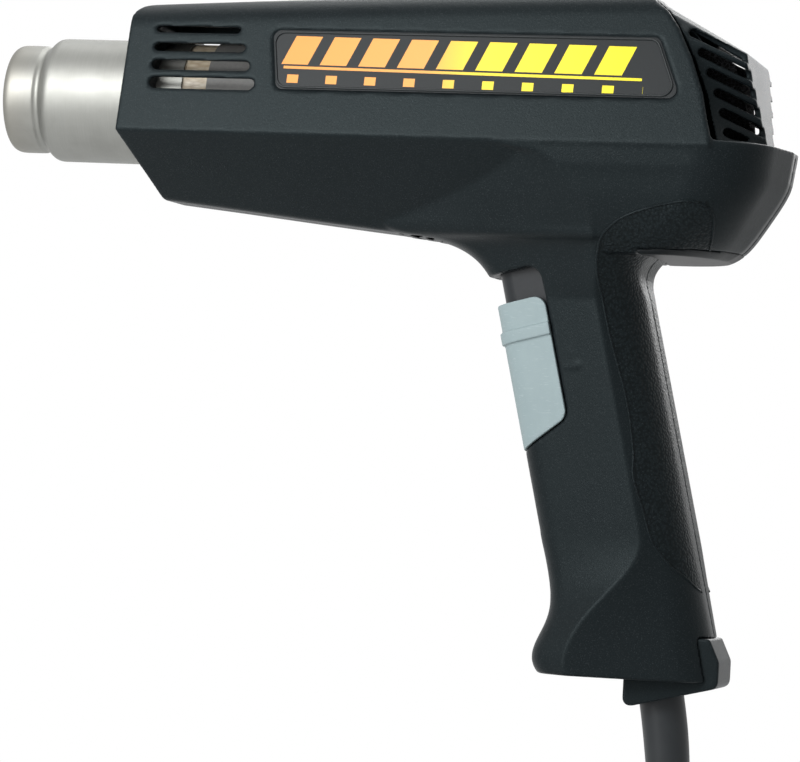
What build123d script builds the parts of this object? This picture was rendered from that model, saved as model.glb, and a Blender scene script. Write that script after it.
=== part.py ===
from build123d import *
import math
import os

# A hand-held hot-air tool for embossing powder: a pistol-shaped housing in two half-shells, a
# stainless nozzle in front, an intake grille behind, a slide switch on the front of the grip and a
# mains cord out of the foot.
# All sizes are millimetres. While modelling, X runs from the mouth of the nozzle to the rear along
# the nozzle's axis, Z is up and Y = 0 is the plane where the half-shells meet. At the end each
# piece is moved so that the origin is the middle of the grip.

# General clearances and walls
OVERRUN = 2.0
RUN_GAP = 0.4
SEAT_GAP = 0.15
SHAFT_GAP = 0.05
WALL = 2.5
ROUND_SHARE = 0.95

# Nozzle tube
MOUTH_R = 17.0
TUBE_R = 19.5
TUBE_WALL = 0.8
MOUTH_FORWARD = 1.8
MOUTH_LENGTH = 10.0
GROOVE_LENGTH = 1.5
GROOVE_DEPTH = 0.5
GROOVE_R = 0.24
STEP_LENGTH = 4.2
STEP_R = 2.8
RIM_ROLL_R = 2.6
TUBE_END_X = 58.0

# Heater in the nozzle tube
MICA_START_X = 16.0
MICA_END_X = 66.0
MICA_WALL = 1.2
MICA_BORE_R = TUBE_R - TUBE_WALL - MICA_WALL
CORE_START_X = 17.0
CORE_LENGTH = 45.0
CORE_END_X = CORE_START_X + CORE_LENGTH
CORE_GAP = 0.3
CORE_HOLES = 8
CORE_HOLE_R = 3.3
CORE_HOLE_RING_R = 10.4
CORE_BORE_R = 3.2
HEAT_WIRE_R = 0.9
HEAT_WIRE_END_X = 69.0
HOLDER_LENGTH = 4.0
HOLDER_WALL = 3.4

# Air duct from the fan to the heater
DUCT_START_X = MICA_END_X
DUCT_NECK_R = 19.4
DUCT_NECK_LENGTH = 17.0
DUCT_CONE_LENGTH = 34.0
DUCT_R = 27.0
DUCT_END_X = 152.0
DUCT_WALL = 1.5
DUCT_PORT_R = 6.0
DUCT_PORT_X = 77.0
CUTOUT_LENGTH = 9.0
CUTOUT_HALF = 2.6
CUTOUT_Z = 14.6

# Fan, motor and rectifier
SHAFT_R = 1.6
SHAFT_START_X = 123.0
SHAFT_END_X = 197.0
FAN_START_X = 126.0
FAN_LENGTH = 15.0
FAN_HUB_R = 8.0
FAN_BLADES = 9
FAN_BLADE_THICK = 1.3
FAN_PITCH = 38.0
FAN_TIP_GAP = 0.7
MOTOR_R = 17.5
MOTOR_WALL = 1.2
MOUNT_THICK = 2.2
MOTOR_START_X = DUCT_END_X + MOUNT_THICK
MOTOR_END_X = 190.0
MOUNT_RIM = 3.0
MOUNT_HUB_R = 11.0
MOUNT_SPOKE_HALF = 3.2
BEARING_R = 4.0
BEARING_LENGTH = 4.5
MAGNET_THICK = 3.6
MAGNET_MARGIN = 3.0
MAGNET_SPAN = 130.0
ARMATURE_GAP = 0.6
ARMATURE_SLOTS = 8
ARMATURE_SLOT = 2.0
ARMATURE_MARGIN = 6.0
COMMUTATOR_R = 5.0
COMMUTATOR_LENGTH = 4.5
CAP_THICK = 3.4
CAP_HUB_R = 6.5
CAP_HUB_LENGTH = 4.6
BOARD_R = 14.0
BOARD_THICK = 1.6
DIODE_R = 1.4
DIODE_LENGTH = 5.2
DIODE_OFFSET = 8.6

# Housing barrel, a six-sided section with rounded shoulders that grows towards the rear
FRONT_X = 41.0
BARREL_END_X = 232.0
HOOD_TOP_FRONT = 29.4
HOOD_TOP_REAR = 37.4
SHOULDER_HALF_FRONT = 19.5
SHOULDER_HALF_REAR = 25.5
SHOULDER_R = 11.0
CREASE_Z = -11.4
CREASE_HALF_FRONT = 31.0
CREASE_HALF_REAR = 39.0
KEEL_HALF = 11.0
KEEL_R = 3.0
KEEL_Z_FRONT = -30.4
KEEL_Z_REAR = -41.6
CHIN_DEPTH = 22.0
CHIN_RUN = 11.8
BARREL_STATION_SHARES = [0.0, 0.3, 0.62, 1.0]
HOOD_STATION_SHARES = [0.0, 0.36, 0.68, 1.0]
KEEL_STATION_SHARES = [0.0, 0.50, 0.97, 1.0]

HOOD_FRONT_R = 5.0

# Slanted and curved rear edge of the hood, and the tail below it
NOTCH_TOP_X = 203.5
NOTCH_BOTTOM_X = 228.2
# Each row: height share from the rim to the hood's top, share of the way forward
NOTCH_SHARES = [(0.0, 0.0), (0.124, 0.073), (0.297, 0.154), (0.523, 0.324), (0.726, 0.522),
                (0.84, 0.684), (0.904, 0.846), (1.0, 1.0)]
RIM_Z = -9.4
TAIL_ROOT_X = 196.0
TAIL_ROOT_TRAVEL = 38.0
TAIL_END_X = 248.4
TAIL_HALF = 39.0
TAIL_STERN_HALF = 5.0
TAIL_STERN_SWEEP = 7.0
TAIL_DEPTH = 34.1
TAIL_CORNER_R = 22.0
TAIL_FORWARD = 38.0
# Each row: depth, how far the stern has come forward, half width and how far forward the root is
TAIL_SHARES = [(0.0, 0.0, 0.978, 0.947), (0.0587, 0.006, 0.996, 0.974), (0.1525, 0.018, 0.99, 0.50),
               (0.2463, 0.03, 0.985, 0.366), (0.4985, 0.12, 0.95, 0.187), (0.78, 0.28, 0.865, 0.092),
               (0.9, 0.365, 0.795, 0.071), (1.0, 0.49, 0.72, 0.058)]
TAIL_RULED_ROWS = 4

# Rubber pad under the tail, set in flush below a slanted line
BUMPER_START_X = 206.0
BUMPER_START_Z = -42.2
BUMPER_END_Z = -40.4
BUMPER_DEPTH = 1.5

# Neck, grip and foot
LEAN = 13.8
GRIP_DEPTH = 47.2
GRIP_HALF = 22.0
GRIP_NOSE_HALF = 12.0
GRIP_BACK_HALF = 15.5
GRIP_NOSE_R = 9.0
GRIP_BACK_R = 14.0
GRIP_CREASE_BACK = 33.8
GRIP_TOP_Z = -57.0
GRIP_TOP_X = 159.1
GRIP_BOTTOM_Z = -128.0
NECK_DROP = 45.6
NECK_REACH = 44.0
NECK_HALF_EXTRA = 15.5
NECK_REAR_REACH = 19.0
NECK_CREASE_REACH = 26.0
# Each row: height share above the grip, forward reach, crease back, width and rear reach shares
NECK_SHARES = [(1.0, 0.95, 0.912, 0.884, 1.0), (0.93, 0.93, 0.248, 0.923, 0.98),
               (0.86, 0.911, 0.076, 0.925, 0.96), (0.67, 0.858, -0.172, 0.858, 0.90),
               (0.46, 0.80, -0.36, 0.664, 0.84), (0.37, 0.43, -0.42, 0.50, 0.54),
               (0.305, 0.195, -0.467, 0.36, 0.26), (0.21, 0.075, -0.53, 0.26, 0.04),
               (0.12, 0.025, -0.53, 0.165, -0.02), (0.0, 0.0, 0.0, 0.0, 0.0)]
NECK_RULED_ROWS = 5
FOOT_DROP = 43.1
FOOT_TOE = 9.0
FOOT_HALF_FRONT = 16.0
FOOT_CREASE_TRAVEL = 31.0
# Each row: drop share, toe reach, crease forward and front width shares
FOOT_SHARES = [(0.0, 0.0, 0.0, 0.0), (0.13, 0.0, 0.06, 0.0), (0.27, -0.02, 0.22, 0.05),
               (0.46, 0.02, 0.52, 0.25), (0.64, 0.32, 0.78, 0.6), (0.80, 0.82, 0.94, 0.92),
               (0.90, 1.0, 1.0, 1.0), (1.0, 0.88, 1.0, 0.93)]

# Grip frame: P runs rearwards across the grip, R runs up along it
GRIP_X = 196.0
GRIP_Z = -110.0
LEAN_SIN = math.sin(math.radians(LEAN))
LEAN_COS = math.cos(math.radians(LEAN))
LEAN_RUN = LEAN_SIN / LEAN_COS
GRIP_FRAME = Plane(origin=(GRIP_X, 0, GRIP_Z), x_dir=(LEAN_COS, 0, LEAN_SIN), z_dir=(0, -1, 0))

# Vent slots at the front of the hood, each row longer and taller than the one above
VENT_HALF_HEIGHT = 1.0
VENT_HALF_STEP = 0.27
VENT_ROW_DROP = 5.7
VENT_TOP_Z = 21.0
VENT_START_X = 50.0
VENT_LENGTH_TOP = 27.5
VENT_LENGTH_STEP = 2.2
VENT_ROWS = 4

# Side nameplates
PLATE_THICK = 0.6
PLATE_DEPTH = 0.9
PLATE_TOP_Z = 21.8
PLATE_BOTTOM_Z = 2.2
PLATE_START_X = 87.6
PLATE_END_TOP_X = 210.0
PLATE_END_BOTTOM_X = 218.5
PLATE_START_SLANT = 3.4
PLATE_CORNER_R = 3.0
PLATE_EDGE_GAP = 0.3

# Louvred intake grille behind the hood
GRILLE_WALL = 1.8
GRILLE_PLANE_TOP_X = 201.5
GRILLE_PLANE_BOTTOM_X = 222.0
GRILLE_TOP_Z_FRONT = 36.4
GRILLE_TOP_HALF_FRONT = 16.0
GRILLE_CORNER_Z_FRONT = 34.0
GRILLE_CORNER_HALF_FRONT = 22.6
GRILLE_SHOULDER_Z_FRONT = 28.0
GRILLE_SHOULDER_HALF_FRONT = 26.4
GRILLE_BASE_HALF_FRONT = 36.4
GRILLE_REAR_TOP_X = 235.2
GRILLE_REAR_TOP_Z = 18.2
GRILLE_REAR_TOP_HALF = 26.2
GRILLE_REAR_BASE_X = 240.8
GRILLE_REAR_BASE_HALF = 6.5
GRILLE_CORNER_DROP = 2.6
GRILLE_CORNER_IN = 1.9
FILTER_GAP = 3.0
LOUVRES = 6
LOUVRE_HALF_HEIGHT = 1.35
LOUVRE_SLANT = 23.5
LOUVRE_TOP_Z = 24.0
LOUVRE_PITCH = 5.86
LOUVRE_INSET = 2.2
LOUVRE_WRAP = 0.8
LOUVRE_R = 1.2

# Ribs, bosses and screws of the half-shells
RIB_THICK = 2.4
TUBE_RIB_X = 48.0
DUCT_RIB_X = 122.0
MOTOR_RIB_X = 170.0
RIB_PASSAGE_HALF = 8.0
RIB_SPOKE_HALF = 4.5
GRIP_RIB_R = -15.0
GRIP_RIB_WINDOW_P = 7.0
GRIP_RIB_WINDOW_HALF = 6.0
BOSS_R = 3.4
SCREW_R = 1.5
SCREW_HEAD_R = 2.9
SCREW_HEAD_LENGTH = 2.4
SCREW_SEAT_Y = 9.0
SCREW_REACH = 8.0
SCREW_HOOD_X = 94.0
SCREW_HOOD_Z = 26.6
SCREW_REAR_X = 161.0
SCREW_REAR_Z = 26.8
SCREW_FOOT_P = -16.0
SCREW_FOOT_R = -34.0

# Slide switch on the front of the grip, in the grip frame
KNOB_TOP_R = 57.0
KNOB_BACK_P = -6.6
KNOB_BACK_BOTTOM_R = 19.0
KNOB_TIP_R = 10.4
KNOB_PROUD = 0.35
KNOB_TOP_CORNER_R = 4.0
KNOB_LOW_CORNER_R = 4.0
KNOB_BAND_R = 46.6
KNOB_BAND_HALF = 1.9
KNOB_BAND_PROUD = 0.8
SLIDE_TRAVEL = 8.0
SLIDE_TOP_ROOM = 0.9
SLIDE_ROOM = SLIDE_TRAVEL + SLIDE_TOP_ROOM
SLIDE_TOP_Z = GRIP_TOP_Z + NECK_DROP / 2
GUIDE_THICK = 1.8
GUIDE_LAP = 2.6
GUIDE_SLIT_P = -12.4
GUIDE_SLIT_HALF = 0.8
GUIDE_SLIT_LENGTH = 9.0
STEM_HALF = 2.2
STEM_LOW_R = 30.0
STEM_HIGH_R = 38.0
CARRIAGE_DEPTH = 4.0
CARRIAGE_HALF = 3.4
CARRIAGE_LAP = 1.2
SWITCH_BACK_P = -3.0
SWITCH_HALF = 6.8
SWITCH_LOW_R = 14.0
SWITCH_HIGH_R = 60.0
CAPACITOR_DEPTH = 11.0
CAPACITOR_HALF = 8.0
CAPACITOR_LOW_R = 18.0
CAPACITOR_HIGH_R = 36.0
POINTER_P = -1.6
POINTER_R = 33.6
POINTER_LENGTH = 4.4
POINTER_HEIGHT = 2.0
POINTER_PROUD = 0.35

# Terminal block and cord clamp, in the grip frame
BLOCK_LOW_P = -6.0
BLOCK_DEPTH = 12.0
BLOCK_HALF = 9.0
BLOCK_HEIGHT = 14.0
BLOCK_BORE_R = 1.8
CLAMP_R = -46.0
CLAMP_HEIGHT = 7.0
CLAMP_THICK = 2.6
CLAMP_HALF_SPAN = 10.5
CLAMP_SCREW_OFFSET = 7.4
CLAMP_SCREW_R = 1.3
CLAMP_HEAD_R = 2.4
CLAMP_HEAD_LENGTH = 1.6

# Cord outlet under the foot, with its heel
HEEL_HALF = 12.0
HEEL_FRONT_X = 205.6
HEEL_FRONT_DROP = 8.9
HEEL_BACK_X = 234.6
HEEL_BACK_DROP = 1.3
HEEL_SHOULDER_DROP = -6.6
HEEL_SHOULDER_RUN = 3.2
HEEL_TOP_DROP = -13.4
HEEL_INSIDE_DROP = -6.0
HEEL_INSIDE_BACK = 8.4
HEEL_CORNER_R = 2.4
HEEL_EDGE_R = 1.2

# Strain relief sleeve and mains cord
SLEEVE_R = 6.9
SLEEVE_TIP_R = 4.7
SLEEVE_COLLAR_R = 9.0
SLEEVE_COLLAR_LENGTH = 2.4
CORD_R = 3.8
BEND_SHARE = 0.45
# Middle line of the sleeve, hand-placed along the photographed bend
SLEEVE_POINTS = [(213.2, -164.0), (215.5, -176.0), (217.4, -187.0), (218.8, -199.0), (219.8, -213.0),
                 (220.2, -228.0)]
SLEEVE_TAPER_SHARES = [0.0, 0.0, 0.0, 0.12, 0.5, 1.0]

# Leads inside the housing, hand-placed heights and stations
LEAD_R = 1.1
LEAD_LOW_Z = -30.6
LEAD_TURN_X = 175.0
LEAD_SWITCH_P = 4.0
LEAD_SWITCH_R = 50.0
MOTOR_LEAD_Y = 5.6
MOTOR_LEAD_Z = -11.5
MOTOR_LEAD_X = 201.0
MOTOR_LEAD_LOW_Z = -45.0
MOTOR_LEAD_SWITCH_R = 43.0
SUPPLY_LEAD_Y = 4.4
SUPPLY_LEAD_P = -9.0

# Free cord between the sleeve and the coil, hand-placed; its end runs follow what they meet
CORD_FIRST_RUN = 16.5
CORD_POINTS = [(220.2, 0.9, -263.0), (216.1, 4.5, -276.0), (209.1, 11.5, -285.9)]
CORD_LAST_RUN = 14.7
# Free cord between the coil and the plug, hand-placed; the plug lies along its last run
TAIL_CORD_FIRST_RUN = 12.7
TAIL_CORD_POINTS = [(83.0, 12.5, -286.0), (75.5, -0.5, -288.4), (68.5, -12.6, -288.4)]

# Coil of the put-away length, on the surface below the grip
FLOOR_Z = -296.0
COIL_X = 145.7
COIL_Y = -1.9
COIL_MIDDLE_R = 42.0
COIL_PITCH = 8.2
COIL_LAYER_RISE = 8.1
COIL_TURNS_IN = 3.0
COIL_TURNS_OUT = 3.25
COIL_START_ANGLE = 45.0

# Plug at the end of the cord
PLUG_LENGTH = 27.0
PLUG_HALF_WIDTH = 11.5
PLUG_HALF_HEIGHT = 7.6
PLUG_CORNER_R = 3.0
PLUG_NECK_LENGTH = 15.0
PLUG_NECK_R = 5.0
PLUG_NECK_TIP_R = 4.3
BLADE_SPACING = 12.7
BLADE_WIDTH = 6.35
BLADE_THICK = 1.5
BLADE_LENGTH = 16.0
BLADE_HOLE_R = 1.6


def between(low, high, share):
    return low + (high - low) * share


def shifted_polygon(points, inset):
    """An outline with each side moved inwards by the inset, or outwards where it is negative."""
    count = len(points)
    area = sum(points[i - 1][0] * points[i][1] - points[i][0] * points[i - 1][1] for i in range(count))
    side = 1 if area > 0 else -1
    lines = []
    for i in range(count):
        (ax, ay), (bx, by) = points[i], points[(i + 1) % count]
        run = math.hypot(bx - ax, by - ay)
        shift_x, shift_y = -(by - ay) / run * side * inset, (bx - ax) / run * side * inset
        lines.append((ax + shift_x, ay + shift_y, bx - ax, by - ay))
    moved = []
    for i in range(count):
        (px, py, pu, pv), (qx, qy, qu, qv) = lines[i - 1], lines[i]
        along = ((qx - px) * qv - (qy - py) * qu) / (pu * qv - pv * qu)
        moved.append((px + pu * along, py + pv * along))
    return moved


def outline(points, radii):
    """A flat face with the given corners, each rounded by its radius."""
    face = make_face(Polyline(*points, close=True))
    for (x, y), radius in zip(points, radii):
        if radius > 0:
            corner = sorted(face.vertices(), key=lambda v: (v.X - x) ** 2 + (v.Y - y) ** 2)[0]
            face = fillet(corner, radius)
    return face


def ring_face(plane, half_points, radii, inset=0.0):
    """A face that is the same on both sides of Y = 0, from the corners of one half."""
    whole = half_points + [(x, -y) for x, y in reversed(half_points)]
    return plane * outline(shifted_polygon(whole, inset), radii + list(reversed(radii)))


def level(z):
    return Plane(origin=(0, 0, z), x_dir=(1, 0, 0), z_dir=(0, 0, 1))


SIDE_VIEW = Plane(origin=(0, 0, 0), x_dir=(1, 0, 0), z_dir=(0, -1, 0))


def side_prism(points, radii=None, low=-2 * TAIL_HALF, high=2 * TAIL_HALF, plane=SIDE_VIEW):
    """A prism whose outline lies in the side view, from Y = low to Y = high."""
    face = plane * outline(points, radii or [0.0] * len(points))
    return Location((0, low, 0)) * extrude(face, high - low, dir=(0, 1, 0))


def grip_prism(points, radii=None, low=-2 * TAIL_HALF, high=2 * TAIL_HALF):
    """A prism whose outline lies in the grip frame, from Y = low to Y = high."""
    return side_prism(points, radii, low, high, GRIP_FRAME)


def grip_box(p_low, p_high, r_low, r_high, half, corner=0.0):
    corners = [(p_low, r_low), (p_high, r_low), (p_high, r_high), (p_low, r_high)]
    return grip_prism(corners, [corner] * 4, -half, half)


def grip_point(p, y, r):
    return (GRIP_X + p * LEAN_COS - r * LEAN_SIN, y, GRIP_Z + p * LEAN_SIN + r * LEAN_COS)


def slab(start_x, length, half=2 * TAIL_HALF):
    """Everything between two planes across the nozzle's axis."""
    return Pos(start_x + length / 2, 0, 0) * Box(length, 2 * half, 2 * half)


def rod(start_x, end_x, radius, y=0.0, z=0.0):
    """A cylinder along the nozzle's axis."""
    return Pos((start_x + end_x) / 2, y, z) * (Rot(0, 90, 0) * Cylinder(radius, end_x - start_x))


def tube(start_x, end_x, radius, wall):
    return rod(start_x, end_x, radius) - rod(start_x - OVERRUN, end_x + OVERRUN, radius - wall)


def cross_rod(start_y, end_y, radius, x, z):
    """A cylinder across the tool."""
    return Pos(x, (start_y + end_y) / 2, z) * (Rot(90, 0, 0) * Cylinder(radius, end_y - start_y))


def turned(points, radii=None):
    """A solid turned about the nozzle's axis from (x, radius) corners."""
    return revolve(SIDE_VIEW * outline(points, radii or [0.0] * len(points)), Axis.X)


def notch_points():
    """The rear edge of the hood in the side view, from the rim upwards."""
    return [(between(NOTCH_BOTTOM_X, NOTCH_TOP_X, forward), between(RIM_Z, HOOD_TOP_REAR, height))
            for height, forward in NOTCH_SHARES]


def notch_x(z):
    points = notch_points()
    for (low_x, low_z), (high_x, high_z) in zip(points, points[1:]):
        if z <= high_z:
            break
    return between(low_x, high_x, (z - low_z) / (high_z - low_z))


def barrel_form(inset=0.0):
    faces = []
    stations = zip(BARREL_STATION_SHARES, HOOD_STATION_SHARES, KEEL_STATION_SHARES)
    for share, hood_share, keel_share in stations:
        x = between(FRONT_X, BARREL_END_X, share) + (inset if share == 0 else 0)
        half_points = [(between(HOOD_TOP_FRONT, HOOD_TOP_REAR, hood_share),
                        between(SHOULDER_HALF_FRONT, SHOULDER_HALF_REAR, share)),
                       (CREASE_Z, between(CREASE_HALF_FRONT, CREASE_HALF_REAR, share)),
                       (between(KEEL_Z_FRONT, KEEL_Z_REAR, keel_share), KEEL_HALF)]
        plane = Plane(origin=(x, 0, 0), x_dir=(0, 0, 1), z_dir=(-1, 0, 0))
        faces.append(ring_face(plane, half_points, [SHOULDER_R - inset, 0.0, KEEL_R], inset))
    high, low, far = HOOD_TOP_REAR + OVERRUN, 2 * KEEL_Z_REAR, 2 * TAIL_END_X
    edge = [(NOTCH_BOTTOM_X, low)] + notch_points() + [(notch_x(high), high)]
    notch = side_prism(edge + [(far, high), (far, low)])
    run = math.hypot(CHIN_DEPTH, CHIN_RUN)
    chin_x, chin_z = FRONT_X + inset * CHIN_DEPTH / run, CREASE_Z + inset * CHIN_RUN / run
    chin = side_prism([(chin_x - CHIN_RUN, chin_z + CHIN_DEPTH),
                       (chin_x + CHIN_RUN * 2, chin_z - CHIN_DEPTH * 2),
                       (chin_x - CHIN_RUN, chin_z - CHIN_DEPTH * 2)])
    front, top, radius = FRONT_X + inset, HOOD_TOP_FRONT - inset, HOOD_FRONT_R - inset
    brow = side_prism([(front - OVERRUN, top - radius), (front + radius, top - radius),
                       (front + radius, top + OVERRUN), (front - OVERRUN, top + OVERRUN)])
    brow -= cross_rod(-2 * TAIL_HALF, 2 * TAIL_HALF, radius, front + radius, top - radius)
    return loft(faces) - notch - chin - brow


def crease_half(x):
    """Half the barrel's width at its crease, that far along it."""
    return between(CREASE_HALF_FRONT, CREASE_HALF_REAR, (x - FRONT_X) / (BARREL_END_X - FRONT_X))


def tail_form(inset=0.0):
    """The tail, whose front edge runs down from the crease in a curve and is flush with the neck."""
    faces = []
    for depth, forward, width, root_forward in TAIL_SHARES:
        z = RIM_Z - TAIL_DEPTH * depth - (inset if depth == 0 else 0) + (inset if depth == 1 else 0)
        stern, root = TAIL_END_X - TAIL_FORWARD * forward, TAIL_ROOT_X - TAIL_ROOT_TRAVEL * root_forward
        half_points = [(root - inset, crease_half(root) * width),
                       (stern - TAIL_STERN_SWEEP, TAIL_HALF * width), (stern, TAIL_STERN_HALF)]
        faces.append(ring_face(level(z), half_points, [0.0, TAIL_CORNER_R - inset, 0.0], inset))
    return loft(faces[:TAIL_RULED_ROWS], ruled=True) + loft(faces[TAIL_RULED_ROWS - 1:])


def grip_points(z):
    front = GRIP_TOP_X + (GRIP_TOP_Z - z) * LEAN_RUN
    return [(front, GRIP_NOSE_HALF), (front + GRIP_CREASE_BACK, GRIP_HALF),
            (front + GRIP_DEPTH, GRIP_BACK_HALF)]


def grip_radii(inset):
    return [GRIP_NOSE_R - inset, 0.0, GRIP_BACK_R - inset]


def leaning_prism(low_z, high_z, inset):
    """The grip's own section, carried up along its lean."""
    face = ring_face(level(low_z), grip_points(low_z), grip_radii(inset), inset)
    return extrude(face, (high_z - low_z) / LEAN_COS, dir=(-LEAN_SIN, 0, LEAN_COS))


def grip_form(inset=0.0):
    return leaning_prism(GRIP_BOTTOM_Z, GRIP_TOP_Z, inset)


def neck_face(row, inset):
    height, reach, crease_back, width, rear = row
    z = GRIP_TOP_Z + NECK_DROP * height
    (nose_x, nose), (crease_x, crease), (back_x, back) = grip_points(z)
    half_points = [(nose_x - NECK_REACH * reach, nose),
                   (crease_x - NECK_CREASE_REACH * crease_back * height,
                    crease + NECK_HALF_EXTRA * width),
                   (back_x + NECK_REAR_REACH * rear, back + NECK_HALF_EXTRA * width)]
    return ring_face(level(z), half_points, grip_radii(inset), inset)


def neck_form(inset=0.0):
    faces = [neck_face(row, inset) for row in NECK_SHARES]
    return loft(faces[:NECK_RULED_ROWS], ruled=True) + loft(faces[NECK_RULED_ROWS - 1:])


def foot_form(inset=0.0):
    faces = []
    for drop, toe, crease_forward, front_width in FOOT_SHARES:
        z = GRIP_BOTTOM_Z - FOOT_DROP * drop + (inset if drop == 1 else 0)
        (nose_x, nose), (crease_x, crease), (back_x, back) = grip_points(z)
        half_points = [(nose_x - FOOT_TOE * toe, between(nose, FOOT_HALF_FRONT, front_width)),
                       (crease_x - FOOT_CREASE_TRAVEL * crease_forward, crease), (back_x, back)]
        faces.append(ring_face(level(z), half_points, grip_radii(inset), inset))
    return loft(faces)


def body_form(inset=0.0):
    """The outside of the whole housing, or the same shape that far inside it."""
    return barrel_form(inset) + tail_form(inset) + neck_form(inset) + grip_form(inset) + foot_form(inset)


def knob_outline(grow=0.0, lift=0.0):
    """The side outline of the knob in the grip frame, grown all round and with its top lifted."""
    front = -GRIP_DEPTH
    corners = [(front, KNOB_TOP_R), (KNOB_BACK_P, KNOB_TOP_R), (KNOB_BACK_P, KNOB_BACK_BOTTOM_R),
               (front, KNOB_TIP_R - (KNOB_BACK_BOTTOM_R - KNOB_TIP_R))]
    corners = shifted_polygon(corners, -grow)
    return [(p, r + lift) if r > KNOB_BACK_BOTTOM_R + KNOB_TOP_CORNER_R else (p, r) for p, r in corners]


def knob_radii(grow=0.0):
    return [0.0, KNOB_TOP_CORNER_R + grow, KNOB_LOW_CORNER_R + grow, 0.0]


def screw_places():
    """The six housing screws in the side view: four round the barrel and tail, two in the grip."""
    grip_low = grip_point(GRIP_NOSE_HALF, 0, GRIP_RIB_R - RIB_THICK - 2 * BOSS_R)
    foot_front = grip_point(SCREW_FOOT_P, 0, SCREW_FOOT_R)
    return [(TUBE_END_X, -TUBE_R - BOSS_R - RUN_GAP), (SCREW_HOOD_X, SCREW_HOOD_Z),
            (SCREW_REAR_X, SCREW_REAR_Z), (TAIL_END_X - TAIL_CORNER_R, RIM_Z - TAIL_DEPTH / 2),
            (grip_low[0], grip_low[2]), (foot_front[0], foot_front[2])]


def clamp_screw_places():
    return [(x, z) for x, _, z in [grip_point(side * CLAMP_SCREW_OFFSET, 0, CLAMP_R + CLAMP_HEIGHT / 2)
                                   for side in (-1, 1)]]


def rib_plate(start_x, radius):
    """A cross wall with a round seat in it."""
    return slab(start_x, RIB_THICK) - rod(start_x - OVERRUN, start_x + RIB_THICK + OVERRUN, radius)


def housing_cavity():
    """The hollow of the housing, less the ribs, bosses and switch frame that stay as plastic."""
    cavity = body_form(WALL)
    frame = grip_prism(knob_outline(GUIDE_LAP + WALL, SLIDE_ROOM))
    frame -= leaning_prism(GRIP_BOTTOM_Z, SLIDE_TOP_Z, WALL)
    cavity -= frame
    cavity -= rib_plate(TUBE_RIB_X, TUBE_R)
    centre_end = DUCT_START_X + DUCT_NECK_LENGTH
    centre_rib = Pos((FRONT_X + centre_end) / 2, 0, TUBE_R + HOOD_TOP_FRONT / 2) * Box(
        centre_end - FRONT_X, RIB_THICK, HOOD_TOP_FRONT)
    cavity -= centre_rib
    passage = Box(RIB_THICK * 2, 2 * RIB_PASSAGE_HALF, -2 * (KEEL_Z_REAR + DUCT_R))
    cavity -= rib_plate(DUCT_RIB_X, DUCT_R) - Pos(DUCT_RIB_X + RIB_THICK / 2, 0, KEEL_Z_REAR) * passage
    spoke = Box(RIB_THICK, 2 * RIB_SPOKE_HALF, HOOD_TOP_REAR * 2)
    spokes = Pos(0, 0, HOOD_TOP_REAR) * spoke + Box(RIB_THICK, 4 * TAIL_HALF, 2 * RIB_SPOKE_HALF)
    cavity -= rib_plate(MOTOR_RIB_X, MOTOR_R) & Pos(MOTOR_RIB_X + RIB_THICK / 2, 0, 0) * spokes
    grip_rib = grip_box(-GRIP_DEPTH, GRIP_DEPTH, GRIP_RIB_R - RIB_THICK, GRIP_RIB_R, 2 * GRIP_HALF)
    window = grip_box(-GRIP_RIB_WINDOW_P, GRIP_RIB_WINDOW_P, GRIP_RIB_R - 2 * RIB_THICK,
                      GRIP_RIB_R + RIB_THICK, GRIP_RIB_WINDOW_HALF)
    cavity -= grip_rib - window
    for x, z in screw_places():
        cavity -= cross_rod(-2 * TAIL_HALF, 2 * TAIL_HALF, BOSS_R, x, z)
    clamp_low = grip_point(0, 0, CLAMP_R)
    post = grip_box(-CLAMP_HALF_SPAN, CLAMP_HALF_SPAN, CLAMP_R, CLAMP_R + CLAMP_HEIGHT, 2 * GRIP_HALF)
    cavity -= post & Pos(clamp_low[0], -GRIP_HALF - CORD_R, clamp_low[2]) * Box(
        8 * GRIP_HALF, 2 * GRIP_HALF, 8 * GRIP_HALF)
    return cavity


def housing_openings():
    """What is cut through both half-shells from outside."""
    cut = rod(FRONT_X - OVERRUN, FRONT_X + WALL, TUBE_R + RUN_GAP)
    cut += rod(FRONT_X, TUBE_RIB_X + RIB_THICK, TUBE_R)
    for row in range(VENT_ROWS):
        z = VENT_TOP_Z - row * VENT_ROW_DROP
        half = VENT_HALF_HEIGHT + row * VENT_HALF_STEP
        end = VENT_START_X + VENT_LENGTH_TOP + row * VENT_LENGTH_STEP
        corners = [(VENT_START_X, z - half), (end, z - half), (end, z + half), (VENT_START_X, z + half)]
        cut += side_prism(corners, [half * ROUND_SHARE] * 4)
    cut += grip_prism(knob_outline(RUN_GAP, SLIDE_ROOM), knob_radii(RUN_GAP)) & leaning_prism(
        GRIP_BOTTOM_Z, SLIDE_TOP_Z, -GRIP_NOSE_R)
    heel_seat = shifted_polygon(heel_corners(), -SEAT_GAP)
    cut += side_prism(heel_seat, None, -HEEL_HALF - SEAT_GAP, HEEL_HALF + SEAT_GAP)
    cut += side_prism(plate_corners(), [PLATE_CORNER_R] * 4) - barrel_form(PLATE_DEPTH)
    return cut + tail_bumper()


def pointer():
    """The small raised triangle that the knob's band points at."""
    half = POINTER_HEIGHT / 2
    corners = [(POINTER_P - POINTER_LENGTH / 2, POINTER_R),
               (POINTER_P + POINTER_LENGTH / 2, POINTER_R - half),
               (POINTER_P + POINTER_LENGTH / 2, POINTER_R + half)]
    skin = leaning_prism(GRIP_BOTTOM_Z, GRIP_TOP_Z, -POINTER_PROUD) - leaning_prism(
        GRIP_BOTTOM_Z, GRIP_TOP_Z, WALL / 2)
    return skin & grip_prism(corners, None, -2 * TAIL_HALF, 0)


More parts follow.
